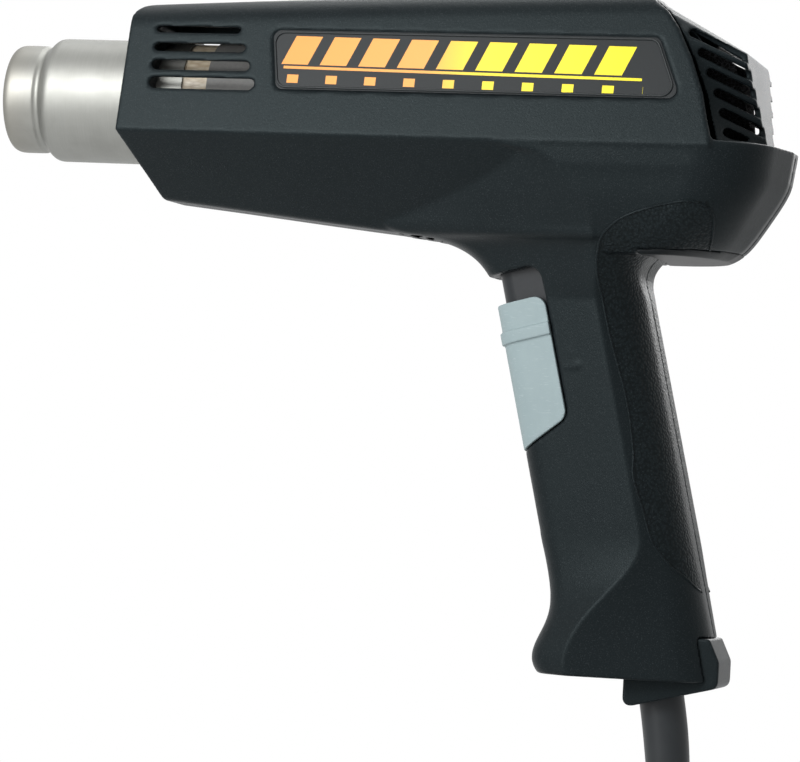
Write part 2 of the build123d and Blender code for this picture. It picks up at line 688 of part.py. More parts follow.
def tail_bumper():
    """The rubber pad under the tail, as far as the neck leaves it free."""
    zone = side_prism([(BUMPER_START_X, BUMPER_START_Z), (TAIL_END_X, BUMPER_END_Z),
                       (TAIL_END_X, 2 * KEEL_Z_REAR), (BUMPER_START_X, 2 * KEEL_Z_REAR)])
    return ((tail_form() - tail_form(BUMPER_DEPTH)) & zone) - neck_form()


def half_shells():
    shell = body_form() - housing_cavity() - housing_openings()
    half = Box(8 * TAIL_END_X, 4 * TAIL_HALF, 8 * TAIL_END_X)
    left = shell & Pos(0, -2 * TAIL_HALF, 0) * half
    right = shell & Pos(0, 2 * TAIL_HALF, 0) * half
    for x, z in screw_places():
        left -= cross_rod(-SCREW_REACH - RUN_GAP, OVERRUN, SCREW_R, x, z)
        right -= cross_rod(-OVERRUN, 2 * TAIL_HALF, SCREW_R + SEAT_GAP, x, z)
        right -= cross_rod(SCREW_SEAT_Y, 2 * TAIL_HALF, SCREW_HEAD_R + SEAT_GAP, x, z)
    for x, z in clamp_screw_places():
        left -= cross_rod(-CORD_R - SCREW_REACH - RUN_GAP, 0, CLAMP_SCREW_R, x, z)
    return left + pointer(), right


def heel_corners():
    """The cord outlet in the side view: a wedge under the foot that turns up behind it."""
    foot_z = GRIP_BOTTOM_Z - FOOT_DROP
    inside_x = HEEL_BACK_X - HEEL_INSIDE_BACK
    return [(HEEL_FRONT_X, foot_z - HEEL_FRONT_DROP), (HEEL_BACK_X, foot_z - HEEL_BACK_DROP),
            (HEEL_BACK_X, foot_z - HEEL_SHOULDER_DROP),
            (HEEL_BACK_X - HEEL_SHOULDER_RUN, foot_z - HEEL_TOP_DROP), (inside_x, foot_z - HEEL_TOP_DROP),
            (inside_x, foot_z - HEEL_INSIDE_DROP), (HEEL_FRONT_X, foot_z - HEEL_INSIDE_DROP)]


def heel_radii():
    return [HEEL_CORNER_R, HEEL_CORNER_R, HEEL_EDGE_R, 0.0, 0.0, 0.0, 0.0]


def plate_corners(grow=0.0):
    corners = [(PLATE_START_X, PLATE_TOP_Z), (PLATE_END_TOP_X, PLATE_TOP_Z),
               (PLATE_END_BOTTOM_X, PLATE_BOTTOM_Z),
               (PLATE_START_X + PLATE_START_SLANT, PLATE_BOTTOM_Z)]
    return shifted_polygon(corners, -grow)


def nozzle_tube():
    groove_x = MOUTH_LENGTH - GROOVE_LENGTH
    step_x = MOUTH_LENGTH + STEP_LENGTH
    inner = MOUTH_R - GROOVE_DEPTH - TUBE_WALL
    lip = MOUTH_R - RIM_ROLL_R - TUBE_WALL
    front = -MOUTH_FORWARD
    points = [(front, lip), (front, MOUTH_R), (groove_x, MOUTH_R), (groove_x, MOUTH_R - GROOVE_DEPTH),
              (MOUTH_LENGTH, MOUTH_R - GROOVE_DEPTH), (MOUTH_LENGTH, MOUTH_R), (step_x, TUBE_R),
              (TUBE_END_X, TUBE_R), (TUBE_END_X, TUBE_R - TUBE_WALL), (step_x, TUBE_R - TUBE_WALL),
              (MOUTH_LENGTH, inner), (front + TUBE_WALL, inner), (front + TUBE_WALL, lip)]
    radii = [0, RIM_ROLL_R, GROOVE_R, GROOVE_R, GROOVE_R, 0, STEP_R, 0, 0, STEP_R, 0,
             RIM_ROLL_R - TUBE_WALL, 0]
    return turned(points, radii)


def mica_sleeve():
    return tube(MICA_START_X, MICA_END_X, TUBE_R - TUBE_WALL, MICA_WALL)


def hole_places():
    """The middles of the heater holes; the first and the last lie side by side at the bottom."""
    step = 360 / CORE_HOLES
    angles = [math.radians(-90 + (k + 0.5) * step) for k in range(CORE_HOLES)]
    return [(CORE_HOLE_RING_R * math.cos(a), CORE_HOLE_RING_R * math.sin(a)) for a in angles]


def heater_core():
    core = tube(CORE_START_X, CORE_END_X, MICA_BORE_R - CORE_GAP, MICA_BORE_R - CORE_GAP - CORE_BORE_R)
    for y, z in hole_places():
        core -= rod(CORE_START_X - OVERRUN, CORE_END_X + OVERRUN, CORE_HOLE_R, y, z)
    return core


def bent_tube(points, radius):
    """A round tube along straight runs; each arc between them takes most of the shorter run."""
    corners = [Vector(*point) for point in points]
    bends = []
    for a, b, c in zip(corners, corners[1:], corners[2:]):
        turn = (b - a).get_angle(c - b)
        bends.append(BEND_SHARE * min((b - a).length, (c - b).length) / math.tan(math.radians(turn) / 2))
    path = FilletPolyline(*corners, radius=bends) if bends else Line(*corners)
    section = Plane(origin=path @ 0, z_dir=path % 0) * Circle(radius)
    return sweep(section, path=path), bends


def heater_wire():
    """One wire that runs back and forth through the holes and lies against the core's end faces."""
    front, back = CORE_START_X - HEAT_WIRE_R, CORE_END_X + HEAT_WIRE_R
    points = []
    for number, (y, z) in enumerate(hole_places()):
        run = [(back, y, z), (front, y, z)]
        points += run if number % 2 == 0 else run[::-1]
    points[0] = (HEAT_WIRE_END_X, points[0][1], points[0][2])
    points[-1] = (HEAT_WIRE_END_X, points[-1][1], points[-1][2])
    return bent_tube(points, HEAT_WIRE_R)[0]


def core_holder():
    return tube(CORE_END_X, CORE_END_X + HOLDER_LENGTH, MICA_BORE_R, HOLDER_WALL)


def thermal_cutout():
    middle = CORE_END_X + HOLDER_LENGTH + CUTOUT_LENGTH / 2
    return Pos(middle, 0, CUTOUT_Z) * Box(CUTOUT_LENGTH, 2 * CUTOUT_HALF, 2 * CUTOUT_HALF)


def air_duct():
    neck_x = DUCT_START_X + DUCT_NECK_LENGTH
    cone_x = neck_x + DUCT_CONE_LENGTH
    inner_neck, inner = DUCT_NECK_R - DUCT_WALL, DUCT_R - DUCT_WALL
    duct = turned([(DUCT_START_X, inner_neck), (DUCT_START_X, DUCT_NECK_R), (neck_x, DUCT_NECK_R),
                   (cone_x, DUCT_R), (DUCT_END_X, DUCT_R), (DUCT_END_X, inner), (cone_x, inner),
                   (neck_x, inner_neck)])
    port = Pos(DUCT_PORT_X, 0, -DUCT_NECK_R) * Cylinder(DUCT_PORT_R, DUCT_NECK_R)
    return duct - port


def fan_impeller():
    """A hub with pitched blades on the motor shaft."""
    tip = DUCT_R - DUCT_WALL - FAN_TIP_GAP
    middle = FAN_START_X + FAN_LENGTH / 2
    blade = Pos(0, 0, tip / 2) * (Rot(0, 0, FAN_PITCH) * Box(2 * FAN_LENGTH, FAN_BLADE_THICK, tip))
    fan = rod(FAN_START_X, FAN_START_X + FAN_LENGTH, FAN_HUB_R)
    blade_zone = tube(FAN_START_X, FAN_START_X + FAN_LENGTH, tip, tip - FAN_HUB_R + FAN_BLADE_THICK)
    for number in range(FAN_BLADES):
        turned_blade = Pos(middle, 0, 0) * (Rot(360 * number / FAN_BLADES, 0, 0) * blade)
        fan += turned_blade & blade_zone
    return fan - rod(FAN_START_X - OVERRUN, FAN_START_X + FAN_LENGTH + OVERRUN, SHAFT_R)


def motor_shaft():
    return rod(SHAFT_START_X, SHAFT_END_X, SHAFT_R)


def motor_mount():
    """A spider between the end of the duct and the front of the motor."""
    start, end = DUCT_END_X, MOTOR_START_X
    mount = tube(start, end, DUCT_R, MOUNT_RIM) + rod(start, end, MOUNT_HUB_R)
    spoke = Box(end - start, 2 * MOUNT_SPOKE_HALF, DUCT_R - MOUNT_RIM / 2)
    for number in range(3):
        mount += Rot(120 * number, 0, 0) * (Pos((start + end) / 2, 0, DUCT_R / 2) * spoke)
    return mount - rod(start - OVERRUN, end + OVERRUN, BEARING_R)


def motor_can():
    can = tube(MOTOR_START_X, MOTOR_END_X, MOTOR_R, MOTOR_WALL)
    can += tube(MOTOR_START_X, MOTOR_START_X + MOTOR_WALL, MOTOR_R, MOTOR_R - BEARING_R)
    return can + tube(MOTOR_START_X, MOTOR_START_X + BEARING_LENGTH, BEARING_R + MOTOR_WALL, MOTOR_WALL)


CAP_END_X = MOTOR_END_X + CAP_THICK + CAP_HUB_LENGTH


def motor_bearings():
    wall = BEARING_R - SHAFT_R - SHAFT_GAP
    front = tube(MOTOR_START_X, MOTOR_START_X + BEARING_LENGTH, BEARING_R, wall)
    return [front, tube(CAP_END_X - BEARING_LENGTH, CAP_END_X, BEARING_R, wall)]


def motor_magnets():
    start, end = MOTOR_START_X + MOTOR_WALL + MAGNET_MARGIN, MOTOR_END_X - MAGNET_MARGIN
    outer = MOTOR_R - MOTOR_WALL
    magnets = []
    for turn in (-90, 90):
        sector = Cylinder(
            outer, end - start, arc_size=MAGNET_SPAN, align=(Align.NONE, Align.NONE, Align.CENTER))
        sector = Rot(0, 90, 0) * (Rot(0, 0, turn - MAGNET_SPAN / 2) * sector)
        sector = Pos((start + end) / 2, 0, 0) * sector
        magnets.append(sector - rod(start - OVERRUN, end + OVERRUN, outer - MAGNET_THICK))
    return magnets


ARMATURE_START_X = MOTOR_START_X + MOTOR_WALL + ARMATURE_MARGIN
ARMATURE_END_X = MOTOR_END_X - ARMATURE_MARGIN


def motor_armature():
    radius = MOTOR_R - MOTOR_WALL - MAGNET_THICK - ARMATURE_GAP
    armature = tube(ARMATURE_START_X, ARMATURE_END_X, radius, radius - SHAFT_R)
    middle, length = (ARMATURE_START_X + ARMATURE_END_X) / 2, ARMATURE_END_X - ARMATURE_START_X
    for number in range(ARMATURE_SLOTS):
        slot = Pos(middle, 0, radius) * Box(length + 2 * OVERRUN, ARMATURE_SLOT, radius)
        armature -= Rot(360 * number / ARMATURE_SLOTS, 0, 0) * slot
    return armature


def motor_commutator():
    return tube(ARMATURE_END_X, ARMATURE_END_X + COMMUTATOR_LENGTH, COMMUTATOR_R, COMMUTATOR_R - SHAFT_R)


def motor_end_cap():
    cap = tube(MOTOR_END_X, MOTOR_END_X + CAP_THICK, MOTOR_R, MOTOR_R - BEARING_R)
    return cap + tube(MOTOR_END_X, CAP_END_X, CAP_HUB_R, CAP_HUB_R - BEARING_R)


BOARD_START_X = MOTOR_END_X + CAP_THICK


def rectifier_board():
    return tube(BOARD_START_X, BOARD_START_X + BOARD_THICK, BOARD_R, BOARD_R - CAP_HUB_R)


def rectifier_diodes():
    """Four diodes round the hub, each flattened where it lies on the board."""
    diodes = []
    for number in range(4):
        diode = Pos(BOARD_START_X + BOARD_THICK + DIODE_R * ROUND_SHARE, 0, DIODE_OFFSET) * (
            Rot(90, 0, 0) * Cylinder(DIODE_R, DIODE_LENGTH))
        diodes.append(Rot(45 + 90 * number, 0, 0) * diode - rectifier_board())
    return diodes


def grille_loft(front, rear, inset=0.0, forward=0.0):
    """A ruled body between a slanted section under the hood and one at the rear face."""
    faces = []
    for half_points, low_x, high_x, high_z, back in (
            (front, GRILLE_PLANE_BOTTOM_X, GRILLE_PLANE_TOP_X, HOOD_TOP_REAR, 0),
            (rear, GRILLE_REAR_BASE_X, GRILLE_REAR_TOP_X, GRILLE_REAR_TOP_Z, forward)):
        whole = [(y, z) for z, y in half_points] + [(-y, z) for z, y in reversed(half_points)]
        points = [(between(low_x, high_x, (z - RIM_Z) / (high_z - RIM_Z)) - back, y, z)
                  for y, z in shifted_polygon(whole, inset)]
        faces.append(make_face(Polyline(*points, close=True)))
    return loft(faces, ruled=True)


def grille_form(inset=0.0):
    """The outside of the louvred box, or the same shape that far inside it, uncut by the hood."""
    front = [(GRILLE_TOP_Z_FRONT, GRILLE_TOP_HALF_FRONT),
             (GRILLE_CORNER_Z_FRONT, GRILLE_CORNER_HALF_FRONT),
             (GRILLE_SHOULDER_Z_FRONT, GRILLE_SHOULDER_HALF_FRONT), (RIM_Z, GRILLE_BASE_HALF_FRONT)]
    top, half = GRILLE_REAR_TOP_Z, GRILLE_REAR_TOP_HALF
    rear = [(top, half - 3 * GRILLE_CORNER_IN), (top - GRILLE_CORNER_DROP / 3, half - GRILLE_CORNER_IN),
            (top - GRILLE_CORNER_DROP, half), (RIM_Z, GRILLE_REAR_BASE_HALF)]
    return grille_loft(front, rear, inset, inset)


def intake_grille():
    """A hollow louvred box behind the curved end of the hood."""
    grille = grille_form() - grille_form(GRILLE_WALL) - barrel_form()
    drop = math.tan(math.radians(LOUVRE_SLANT))
    corner_slope = (GRILLE_REAR_TOP_HALF - GRILLE_REAR_BASE_HALF) / (GRILLE_REAR_TOP_Z - RIM_Z)
    above_floor = slab(0, 2 * TAIL_END_X) & Pos(0, 0, RIM_Z + GRILLE_WALL + 2 * TAIL_HALF) * Box(
        8 * TAIL_END_X, 8 * TAIL_HALF, 4 * TAIL_HALF)
    for number in range(LOUVRES):
        z = LOUVRE_TOP_Z - number * LOUVRE_PITCH
        x = notch_x(z) + LOUVRE_INSET
        end = x + 2 * (GRILLE_REAR_BASE_X - x)
        end_z = z - (end - x) * drop
        corner_z = max(z - (GRILLE_REAR_BASE_X - x) * drop, RIM_Z)
        corner_y = GRILLE_REAR_BASE_HALF + (corner_z - RIM_Z) * corner_slope
        points = [(x, z - LOUVRE_HALF_HEIGHT), (end, end_z - LOUVRE_HALF_HEIGHT),
                  (end, end_z + LOUVRE_HALF_HEIGHT), (x, z + LOUVRE_HALF_HEIGHT)]
        slot = side_prism(points, [LOUVRE_R, 0, 0, LOUVRE_R], corner_y - LOUVRE_WRAP, 2 * TAIL_HALF)
        slot = slot & above_floor
        grille -= slot
        grille -= mirror(slot, about=Plane.XZ)
    # The hood's rounded top edge cuts a shaving off the box, which isn't kept.
    return max(grille.solids(), key=lambda solid: solid.volume)


def intake_filter():
    """A block of open foam behind the louvres, standing on the floor of the box."""
    gap = GRILLE_WALL + FILTER_GAP
    floor_z = RIM_Z + GRILLE_WALL
    front = [(GRILLE_CORNER_Z_FRONT - FILTER_GAP, GRILLE_CORNER_HALF_FRONT - gap),
             (floor_z, GRILLE_BASE_HALF_FRONT - 2 * gap)]
    rear = [(GRILLE_REAR_TOP_Z - FILTER_GAP, GRILLE_REAR_TOP_HALF - 2 * gap),
            (floor_z, GRILLE_REAR_BASE_HALF - gap)]
    return grille_loft(front, rear, 0, gap) - barrel_form()


def nameplates():
    """The left and the right plate, each lying on the floor of its recess."""
    skin = barrel_form(PLATE_DEPTH - PLATE_THICK) - barrel_form(PLATE_DEPTH)
    corners = plate_corners(-PLATE_EDGE_GAP)
    radii = [PLATE_CORNER_R - PLATE_EDGE_GAP] * 4
    left = skin & side_prism(corners, radii, -2 * TAIL_HALF, 0)
    return left, skin & side_prism(corners, radii, 0, 2 * TAIL_HALF)


def nose_p(inset):
    """Where the grip's flat nose lies in the grip frame, that far inside the surface."""
    return (GRIP_TOP_X + (GRIP_TOP_Z - GRIP_Z) * LEAN_RUN - GRIP_X + inset) * LEAN_COS


GUIDE_BACK_P = nose_p(WALL + GUIDE_THICK)
CARRIAGE_FRONT_P = GUIDE_BACK_P + RUN_GAP
CARRIAGE_BACK_P = CARRIAGE_FRONT_P + CARRIAGE_DEPTH
SWITCH_FRONT_P = CARRIAGE_BACK_P + RUN_GAP


def switch_knob():
    """The slide round the front of the grip, with a raised band and a stem to the carriage."""
    low, high = GRIP_BOTTOM_Z, SLIDE_TOP_Z
    inside = leaning_prism(low, high, WALL - RUN_GAP)
    knob = (leaning_prism(low, high, -KNOB_PROUD) - inside) & grip_prism(knob_outline(), knob_radii())
    band = grip_box(-GRIP_DEPTH, KNOB_BACK_P, KNOB_BAND_R - KNOB_BAND_HALF,
                    KNOB_BAND_R + KNOB_BAND_HALF, GRIP_DEPTH)
    knob += (leaning_prism(low, high, -KNOB_PROUD - KNOB_BAND_PROUD) - inside) & band
    return knob + grip_box(nose_p(WALL / 2), CARRIAGE_FRONT_P, STEM_LOW_R, STEM_HIGH_R, STEM_HALF)


def switch_guide():
    """The curved track inside the opening, with a slot for the stem and rails that hold the switch."""
    layer = leaning_prism(GRIP_BOTTOM_Z, SLIDE_TOP_Z, WALL) - leaning_prism(
        GRIP_BOTTOM_Z, SLIDE_TOP_Z, WALL + GUIDE_THICK)
    guide = layer & grip_prism(knob_outline(GUIDE_LAP, SLIDE_ROOM))
    rails = grip_box(nose_p(WALL + GUIDE_THICK / 2), SWITCH_FRONT_P, SWITCH_LOW_R, SWITCH_HIGH_R,
                     SWITCH_HALF)
    rails -= grip_box(nose_p(0), SWITCH_FRONT_P + OVERRUN, SWITCH_LOW_R - OVERRUN,
                      SWITCH_HIGH_R + OVERRUN, CARRIAGE_HALF + RUN_GAP)
    guide += rails
    guide -= grip_box(-GRIP_DEPTH, SWITCH_FRONT_P, STEM_LOW_R - RUN_GAP, STEM_HIGH_R + SLIDE_ROOM,
                      STEM_HALF + RUN_GAP)
    slit = grip_box(GUIDE_SLIT_P - GUIDE_SLIT_HALF, GUIDE_SLIT_P + GUIDE_SLIT_HALF,
                    KNOB_TOP_R - GUIDE_SLIT_LENGTH, KNOB_TOP_R, 2 * GRIP_HALF)
    slit -= grip_box(-GRIP_DEPTH, GRIP_DEPTH, -GRIP_DEPTH, 2 * GRIP_DEPTH, SWITCH_HALF + RUN_GAP)
    return guide - slit


def switch_carriage():
    return grip_box(CARRIAGE_FRONT_P, CARRIAGE_BACK_P, STEM_LOW_R - CARRIAGE_LAP,
                    STEM_HIGH_R + CARRIAGE_LAP, CARRIAGE_HALF)


def switch_body():
    return grip_box(SWITCH_FRONT_P, SWITCH_BACK_P, SWITCH_LOW_R, SWITCH_HIGH_R, SWITCH_HALF)


def suppression_capacitor():
    return grip_box(SWITCH_BACK_P, SWITCH_BACK_P + CAPACITOR_DEPTH, CAPACITOR_LOW_R, CAPACITOR_HIGH_R,
                    CAPACITOR_HALF)


BLOCK_TOP_R = GRIP_RIB_R + BLOCK_HEIGHT


def terminal_block():
    """Two clamping ways on the grip's rib, with a screw hole to each."""
    block = grip_box(BLOCK_LOW_P, BLOCK_LOW_P + BLOCK_DEPTH, GRIP_RIB_R, BLOCK_TOP_R, BLOCK_HALF)
    for side in (-1, 1):
        middle = grip_point(BLOCK_LOW_P + BLOCK_DEPTH, side * SUPPLY_LEAD_Y, GRIP_RIB_R + BLOCK_HEIGHT / 2)
        hole = Plane(origin=middle, x_dir=(0, 1, 0), z_dir=(LEAN_COS, 0, LEAN_SIN))
        block -= hole * Cylinder(BLOCK_BORE_R, BLOCK_DEPTH)
    return block


def leads(points, half_gap):
    """A pair of wires on both sides of the middle plane."""
    return [bent_tube([(x, side * half_gap, z) for x, z in points], LEAD_R)[0] for side in (-1, 1)]


def in_side(p, r):
    x, _, z = grip_point(p, 0, r)
    return x, z


def heater_leads():
    y, z = hole_places()[-1]
    points = [(HEAT_WIRE_END_X, z), (DUCT_PORT_X, z), (DUCT_PORT_X, LEAD_LOW_Z),
              (LEAD_TURN_X, LEAD_LOW_Z), in_side(LEAD_SWITCH_P, LEAD_SWITCH_R),
              in_side(SWITCH_BACK_P, LEAD_SWITCH_R)]
    return leads(points, abs(y))


def motor_leads():
    points = [(BOARD_START_X + BOARD_THICK, MOTOR_LEAD_Z), (MOTOR_LEAD_X, MOTOR_LEAD_Z),
              (MOTOR_LEAD_X, MOTOR_LEAD_LOW_Z), in_side(LEAD_SWITCH_P, MOTOR_LEAD_SWITCH_R),
              in_side(SWITCH_BACK_P, MOTOR_LEAD_SWITCH_R)]
    return leads(points, MOTOR_LEAD_Y)


def supply_leads():
    quarter = (SWITCH_LOW_R - BLOCK_TOP_R) / 4
    middle_p = BLOCK_LOW_P + BLOCK_DEPTH / 4
    points = [in_side(middle_p, BLOCK_TOP_R), in_side(middle_p, BLOCK_TOP_R + quarter),
              in_side(SUPPLY_LEAD_P, SWITCH_LOW_R - quarter), in_side(SUPPLY_LEAD_P, SWITCH_LOW_R)]
    return leads(points, SUPPLY_LEAD_Y)


def housing_screws():
    screws = []
    for x, z in screw_places():
        screw = cross_rod(-SCREW_REACH, SCREW_SEAT_Y, SCREW_R, x, z)
        screw += cross_rod(SCREW_SEAT_Y, SCREW_SEAT_Y + SCREW_HEAD_LENGTH, SCREW_HEAD_R, x, z)
        recess = Box(SCREW_R / 3, SCREW_HEAD_LENGTH, 2 * SCREW_R)
        recess += Box(2 * SCREW_R, SCREW_HEAD_LENGTH, SCREW_R / 3)
        screws.append(screw - Pos(x, SCREW_SEAT_Y + SCREW_HEAD_LENGTH, z) * recess)
    return screws


def cord_clamp():
    """A saddle over the cord, screwed to a block of the left half-shell."""
    low, high = CLAMP_R, CLAMP_R + CLAMP_HEIGHT
    far, top = CLAMP_HALF_SPAN, CORD_R + CLAMP_THICK
    clamp = grip_prism([(-far, low), (far, low), (far, high), (-far, high)], None, -CORD_R, top)
    half = CORD_R + RUN_GAP
    channel = [(-half, low - OVERRUN), (half, low - OVERRUN), (half, high + OVERRUN),
               (-half, high + OVERRUN)]
    clamp -= grip_prism(channel, None, -CORD_R - OVERRUN, CORD_R)
    for x, z in clamp_screw_places():
        clamp -= cross_rod(-CORD_R - OVERRUN, top + OVERRUN, CLAMP_SCREW_R + SEAT_GAP, x, z)
    return clamp


def clamp_screws():
    seat = CORD_R + CLAMP_THICK
    return [cross_rod(-CORD_R - SCREW_REACH, seat, CLAMP_SCREW_R, x, z)
            + cross_rod(seat, seat + CLAMP_HEAD_LENGTH, CLAMP_HEAD_R, x, z) for x, z in clamp_screw_places()]


def sleeve_points():
    return [(x, 0, z) for x, z in SLEEVE_POINTS]


def inner_cord():
    """The cord from the terminal block down through the clamp and the sleeve."""
    top = grip_point(0, 0, GRIP_RIB_R)
    clamped = grip_point(0, 0, CLAMP_R)
    return bent_tube([top, clamped] + sleeve_points(), CORD_R)


def sleeve_outside():
    """The tapering strain relief with a collar that rests on the cord outlet."""
    points = sleeve_points()
    faces = []
    for number, (point, share) in enumerate(zip(points, SLEEVE_TAPER_SHARES)):
        before, after = points[max(number - 1, 0)], points[min(number + 1, len(points) - 1)]
        heading = Vector(*after) - Vector(*before)
        faces.append(Plane(origin=point, z_dir=heading) * Circle(between(SLEEVE_R, SLEEVE_TIP_R, share)))
    heading = Vector(*points[1]) - Vector(*points[0])
    collar = Plane(origin=points[0], z_dir=heading) * Cylinder(
        SLEEVE_COLLAR_R, SLEEVE_COLLAR_LENGTH, align=(Align.CENTER, Align.CENTER, Align.MIN))
    return loft(faces) + collar


def cord_outlet():
    """The wedge that closes the foot and carries the sleeve."""
    heel = side_prism(heel_corners(), heel_radii(), -HEEL_HALF, HEEL_HALF)
    return heel - sleeve_outside()


def coil_point(turns):
    """Where the coil's middle line is after so many turns, and its heading there."""
    inner = COIL_MIDDLE_R - COIL_PITCH * COIL_TURNS_IN / 2
    past = turns - COIL_TURNS_IN
    radius = inner + COIL_PITCH * abs(past)
    widening = 0 if past == 0 else math.copysign(COIL_PITCH / (2 * math.pi), past)
    climbed = min(max((past + 0.25) * 2, 0), 1)
    height = COIL_LAYER_RISE * (1 - math.cos(math.pi * climbed)) / 2
    rising = COIL_LAYER_RISE * math.sin(math.pi * climbed) / 2
    angle = math.radians(COIL_START_ANGLE) + 2 * math.pi * turns
    cos, sin = math.cos(angle), math.sin(angle)
    point = Vector(COIL_X + radius * cos, COIL_Y + radius * sin, FLOOR_Z + CORD_R + height)
    heading = Vector(widening * cos - radius * sin, widening * sin + radius * cos, rising)
    return point, heading.normalized()


def two_arcs(start, start_heading, end, end_heading):
    """Two arcs that leave and arrive along the given headings."""
    v, t = end - start, start_heading + end_heading
    room = 2 * (1 - start_heading.dot(end_heading))
    reach = (math.sqrt(v.dot(t) ** 2 + room * v.dot(v)) - v.dot(t)) / room
    first, last = start + start_heading * reach, end - end_heading * reach
    joint = (first + last) / 2
    arcs = []
    for a, corner, b, heading in ((start, first, joint, start_heading), (joint, last, end, None)):
        middle = (a + b) / 2
        half_turn = (corner - a).get_angle(b - corner) / 2
        sag = math.tan(math.radians(half_turn) / 2) / math.tan(math.radians(half_turn))
        arcs.append(ThreePointArc(a, middle + (corner - middle) * sag, b))
    return arcs


def coil_ends():
    """The points and headings where the coil's two straight ends begin and finish."""
    start, start_heading = coil_point(0)
    end, end_heading = coil_point(COIL_TURNS_IN + COIL_TURNS_OUT)
    return start - start_heading * 2 * CORD_R, start, end, end + end_heading * 2 * CORD_R


def cord_coil():
    """One unbroken tube: in along the bottom layer, up in half a turn, out along the top layer."""
    entry, start, end, leaving = coil_ends()
    steps = round((COIL_TURNS_IN + COIL_TURNS_OUT) * 4)
    places = [coil_point(number / 4) for number in range(steps + 1)]
    edges = [Line(entry, start)]
    for (a, a_heading), (b, b_heading) in zip(places, places[1:]):
        edges += two_arcs(a, a_heading, b, b_heading)
    edges.append(Line(end, leaving))
    path = Wire([edge.edge() for edge in edges])
    section = Plane(origin=entry, z_dir=start - entry) * Circle(CORD_R)
    return sweep(section, path=path), path


def self_gap(path, radius):
    """The least gap of a tube to itself, measured on points along its middle line."""
    count = round(path.length / radius)
    points = [path @ (number / count) for number in range(count + 1)]
    apart = 6
    least = min((points[i] - points[j]).length for i in range(len(points))
                for j in range(i + apart, len(points)))
    return least - 2 * radius


def ahead(point, start, end, distance):
    """The place that far from a point, along the heading from start to end."""
    heading = (Vector(*end) - Vector(*start)).normalized()
    return tuple(Vector(*point) + heading * distance)


def power_cord():
    """The free cord from the sleeve down to the coil."""
    before, exit_point = sleeve_points()[-2:]
    entry, start = [tuple(place) for place in coil_ends()[:2]]
    points = [exit_point, ahead(exit_point, before, exit_point, CORD_FIRST_RUN)] + CORD_POINTS
    return bent_tube(points + [ahead(entry, start, entry, CORD_LAST_RUN), entry], CORD_R)


def plug_cord():
    """The free cord from the coil to the plug."""
    end, leaving = [tuple(place) for place in coil_ends()[2:]]
    points = [leaving, ahead(leaving, end, leaving, TAIL_CORD_FIRST_RUN)] + TAIL_CORD_POINTS
    return bent_tube(points, CORD_R)


def plug_plane():
    end = Vector(*TAIL_CORD_POINTS[-1])
    heading = end - Vector(*TAIL_CORD_POINTS[-2])
    return Plane(origin=end, x_dir=(0, 0, 1), z_dir=heading)


def plug_body():
    """A moulded two-pin plug with a tapering neck for the cord."""
    low, size_up, size_across = PLUG_NECK_LENGTH, 2 * PLUG_HALF_HEIGHT, 2 * PLUG_HALF_WIDTH
    block = Pos(0, 0, low + PLUG_LENGTH / 2) * Box(size_up, size_across, PLUG_LENGTH)
    block = fillet(block.edges(), PLUG_CORNER_R)
    neck = loft([Circle(PLUG_NECK_TIP_R), Pos(0, 0, low + PLUG_CORNER_R) * Circle(PLUG_NECK_R)])
    return plug_plane() * (block + neck)


def plug_blades():
    blades = []
    for side in (-1, 1):
        middle = PLUG_NECK_LENGTH + PLUG_LENGTH + BLADE_LENGTH / 2
        blade = Pos(0, side * BLADE_SPACING / 2, middle) * Box(BLADE_WIDTH, BLADE_THICK, BLADE_LENGTH)
        hole = Pos(0, side * BLADE_SPACING / 2, middle + BLADE_LENGTH / 4) * (
            Rot(90, 0, 0) * Cylinder(BLADE_HOLE_R, 2 * BLADE_THICK))
        blades.append(plug_plane() * (blade - hole))
    return blades


def placed(shape):
    return Location((-GRIP_X, 0, -GRIP_Z)) * shape


def write(shape, name):
    pieces = shape if isinstance(shape, list) else [shape]
    solids = [solid for piece in pieces for solid in placed(piece).solids()]
    export_step(Compound(solids) if len(solids) > 1 else solids[0], os.path.join("parts", name + ".step"))


os.makedirs("parts", exist_ok=True)
left_shell, right_shell = half_shells()
left_plate, right_plate = nameplates()
inner_cord_tube, inner_bends = inner_cord()
power_cord_tube, power_bends = power_cord()
plug_cord_tube, plug_bends = plug_cord()
coil, coil_path = cord_coil()
sleeve = sleeve_outside() - inner_cord_tube

write(left_shell, "left_housing_shell")
write(right_shell, "right_housing_shell")
write(tail_bumper(), "tail_bumper")
write(intake_grille(), "intake_grille")
write(intake_filter(), "intake_filter")
write(left_plate, "left_nameplate")
write(right_plate, "right_nameplate")
write(nozzle_tube(), "nozzle_tube")
write(mica_sleeve(), "mica_sleeve")
write(heater_core(), "heater_core")
write(heater_wire(), "heater_wire")
write(core_holder(), "core_holder")
write(thermal_cutout(), "thermal_cutout")
write(air_duct(), "air_duct")
write(fan_impeller(), "fan_impeller")
write(motor_shaft(), "motor_shaft")
write(motor_mount(), "motor_mount")
write(motor_can(), "motor_can")
write(motor_bearings(), "motor_bearings")
write(motor_magnets(), "motor_magnets")
write(motor_armature(), "motor_armature")
write(motor_commutator(), "motor_commutator")
write(motor_end_cap(), "motor_end_cap")
write(rectifier_board(), "rectifier_board")
write(rectifier_diodes(), "rectifier_diodes")
write(switch_knob(), "switch_knob")
write(switch_guide(), "switch_guide")
write(switch_carriage(), "switch_carriage")
write(switch_body(), "switch_body")
write(suppression_capacitor(), "suppression_capacitor")
write(terminal_block(), "terminal_block")
write(heater_leads(), "heater_leads")
write(motor_leads(), "motor_leads")
write(supply_leads(), "supply_leads")
write(housing_screws(), "housing_screws")
write(cord_clamp(), "cord_clamp")
write(clamp_screws(), "clamp_screws")
write(cord_outlet(), "cord_outlet")
write(sleeve, "cord_sleeve")
write(inner_cord_tube, "inner_cord")
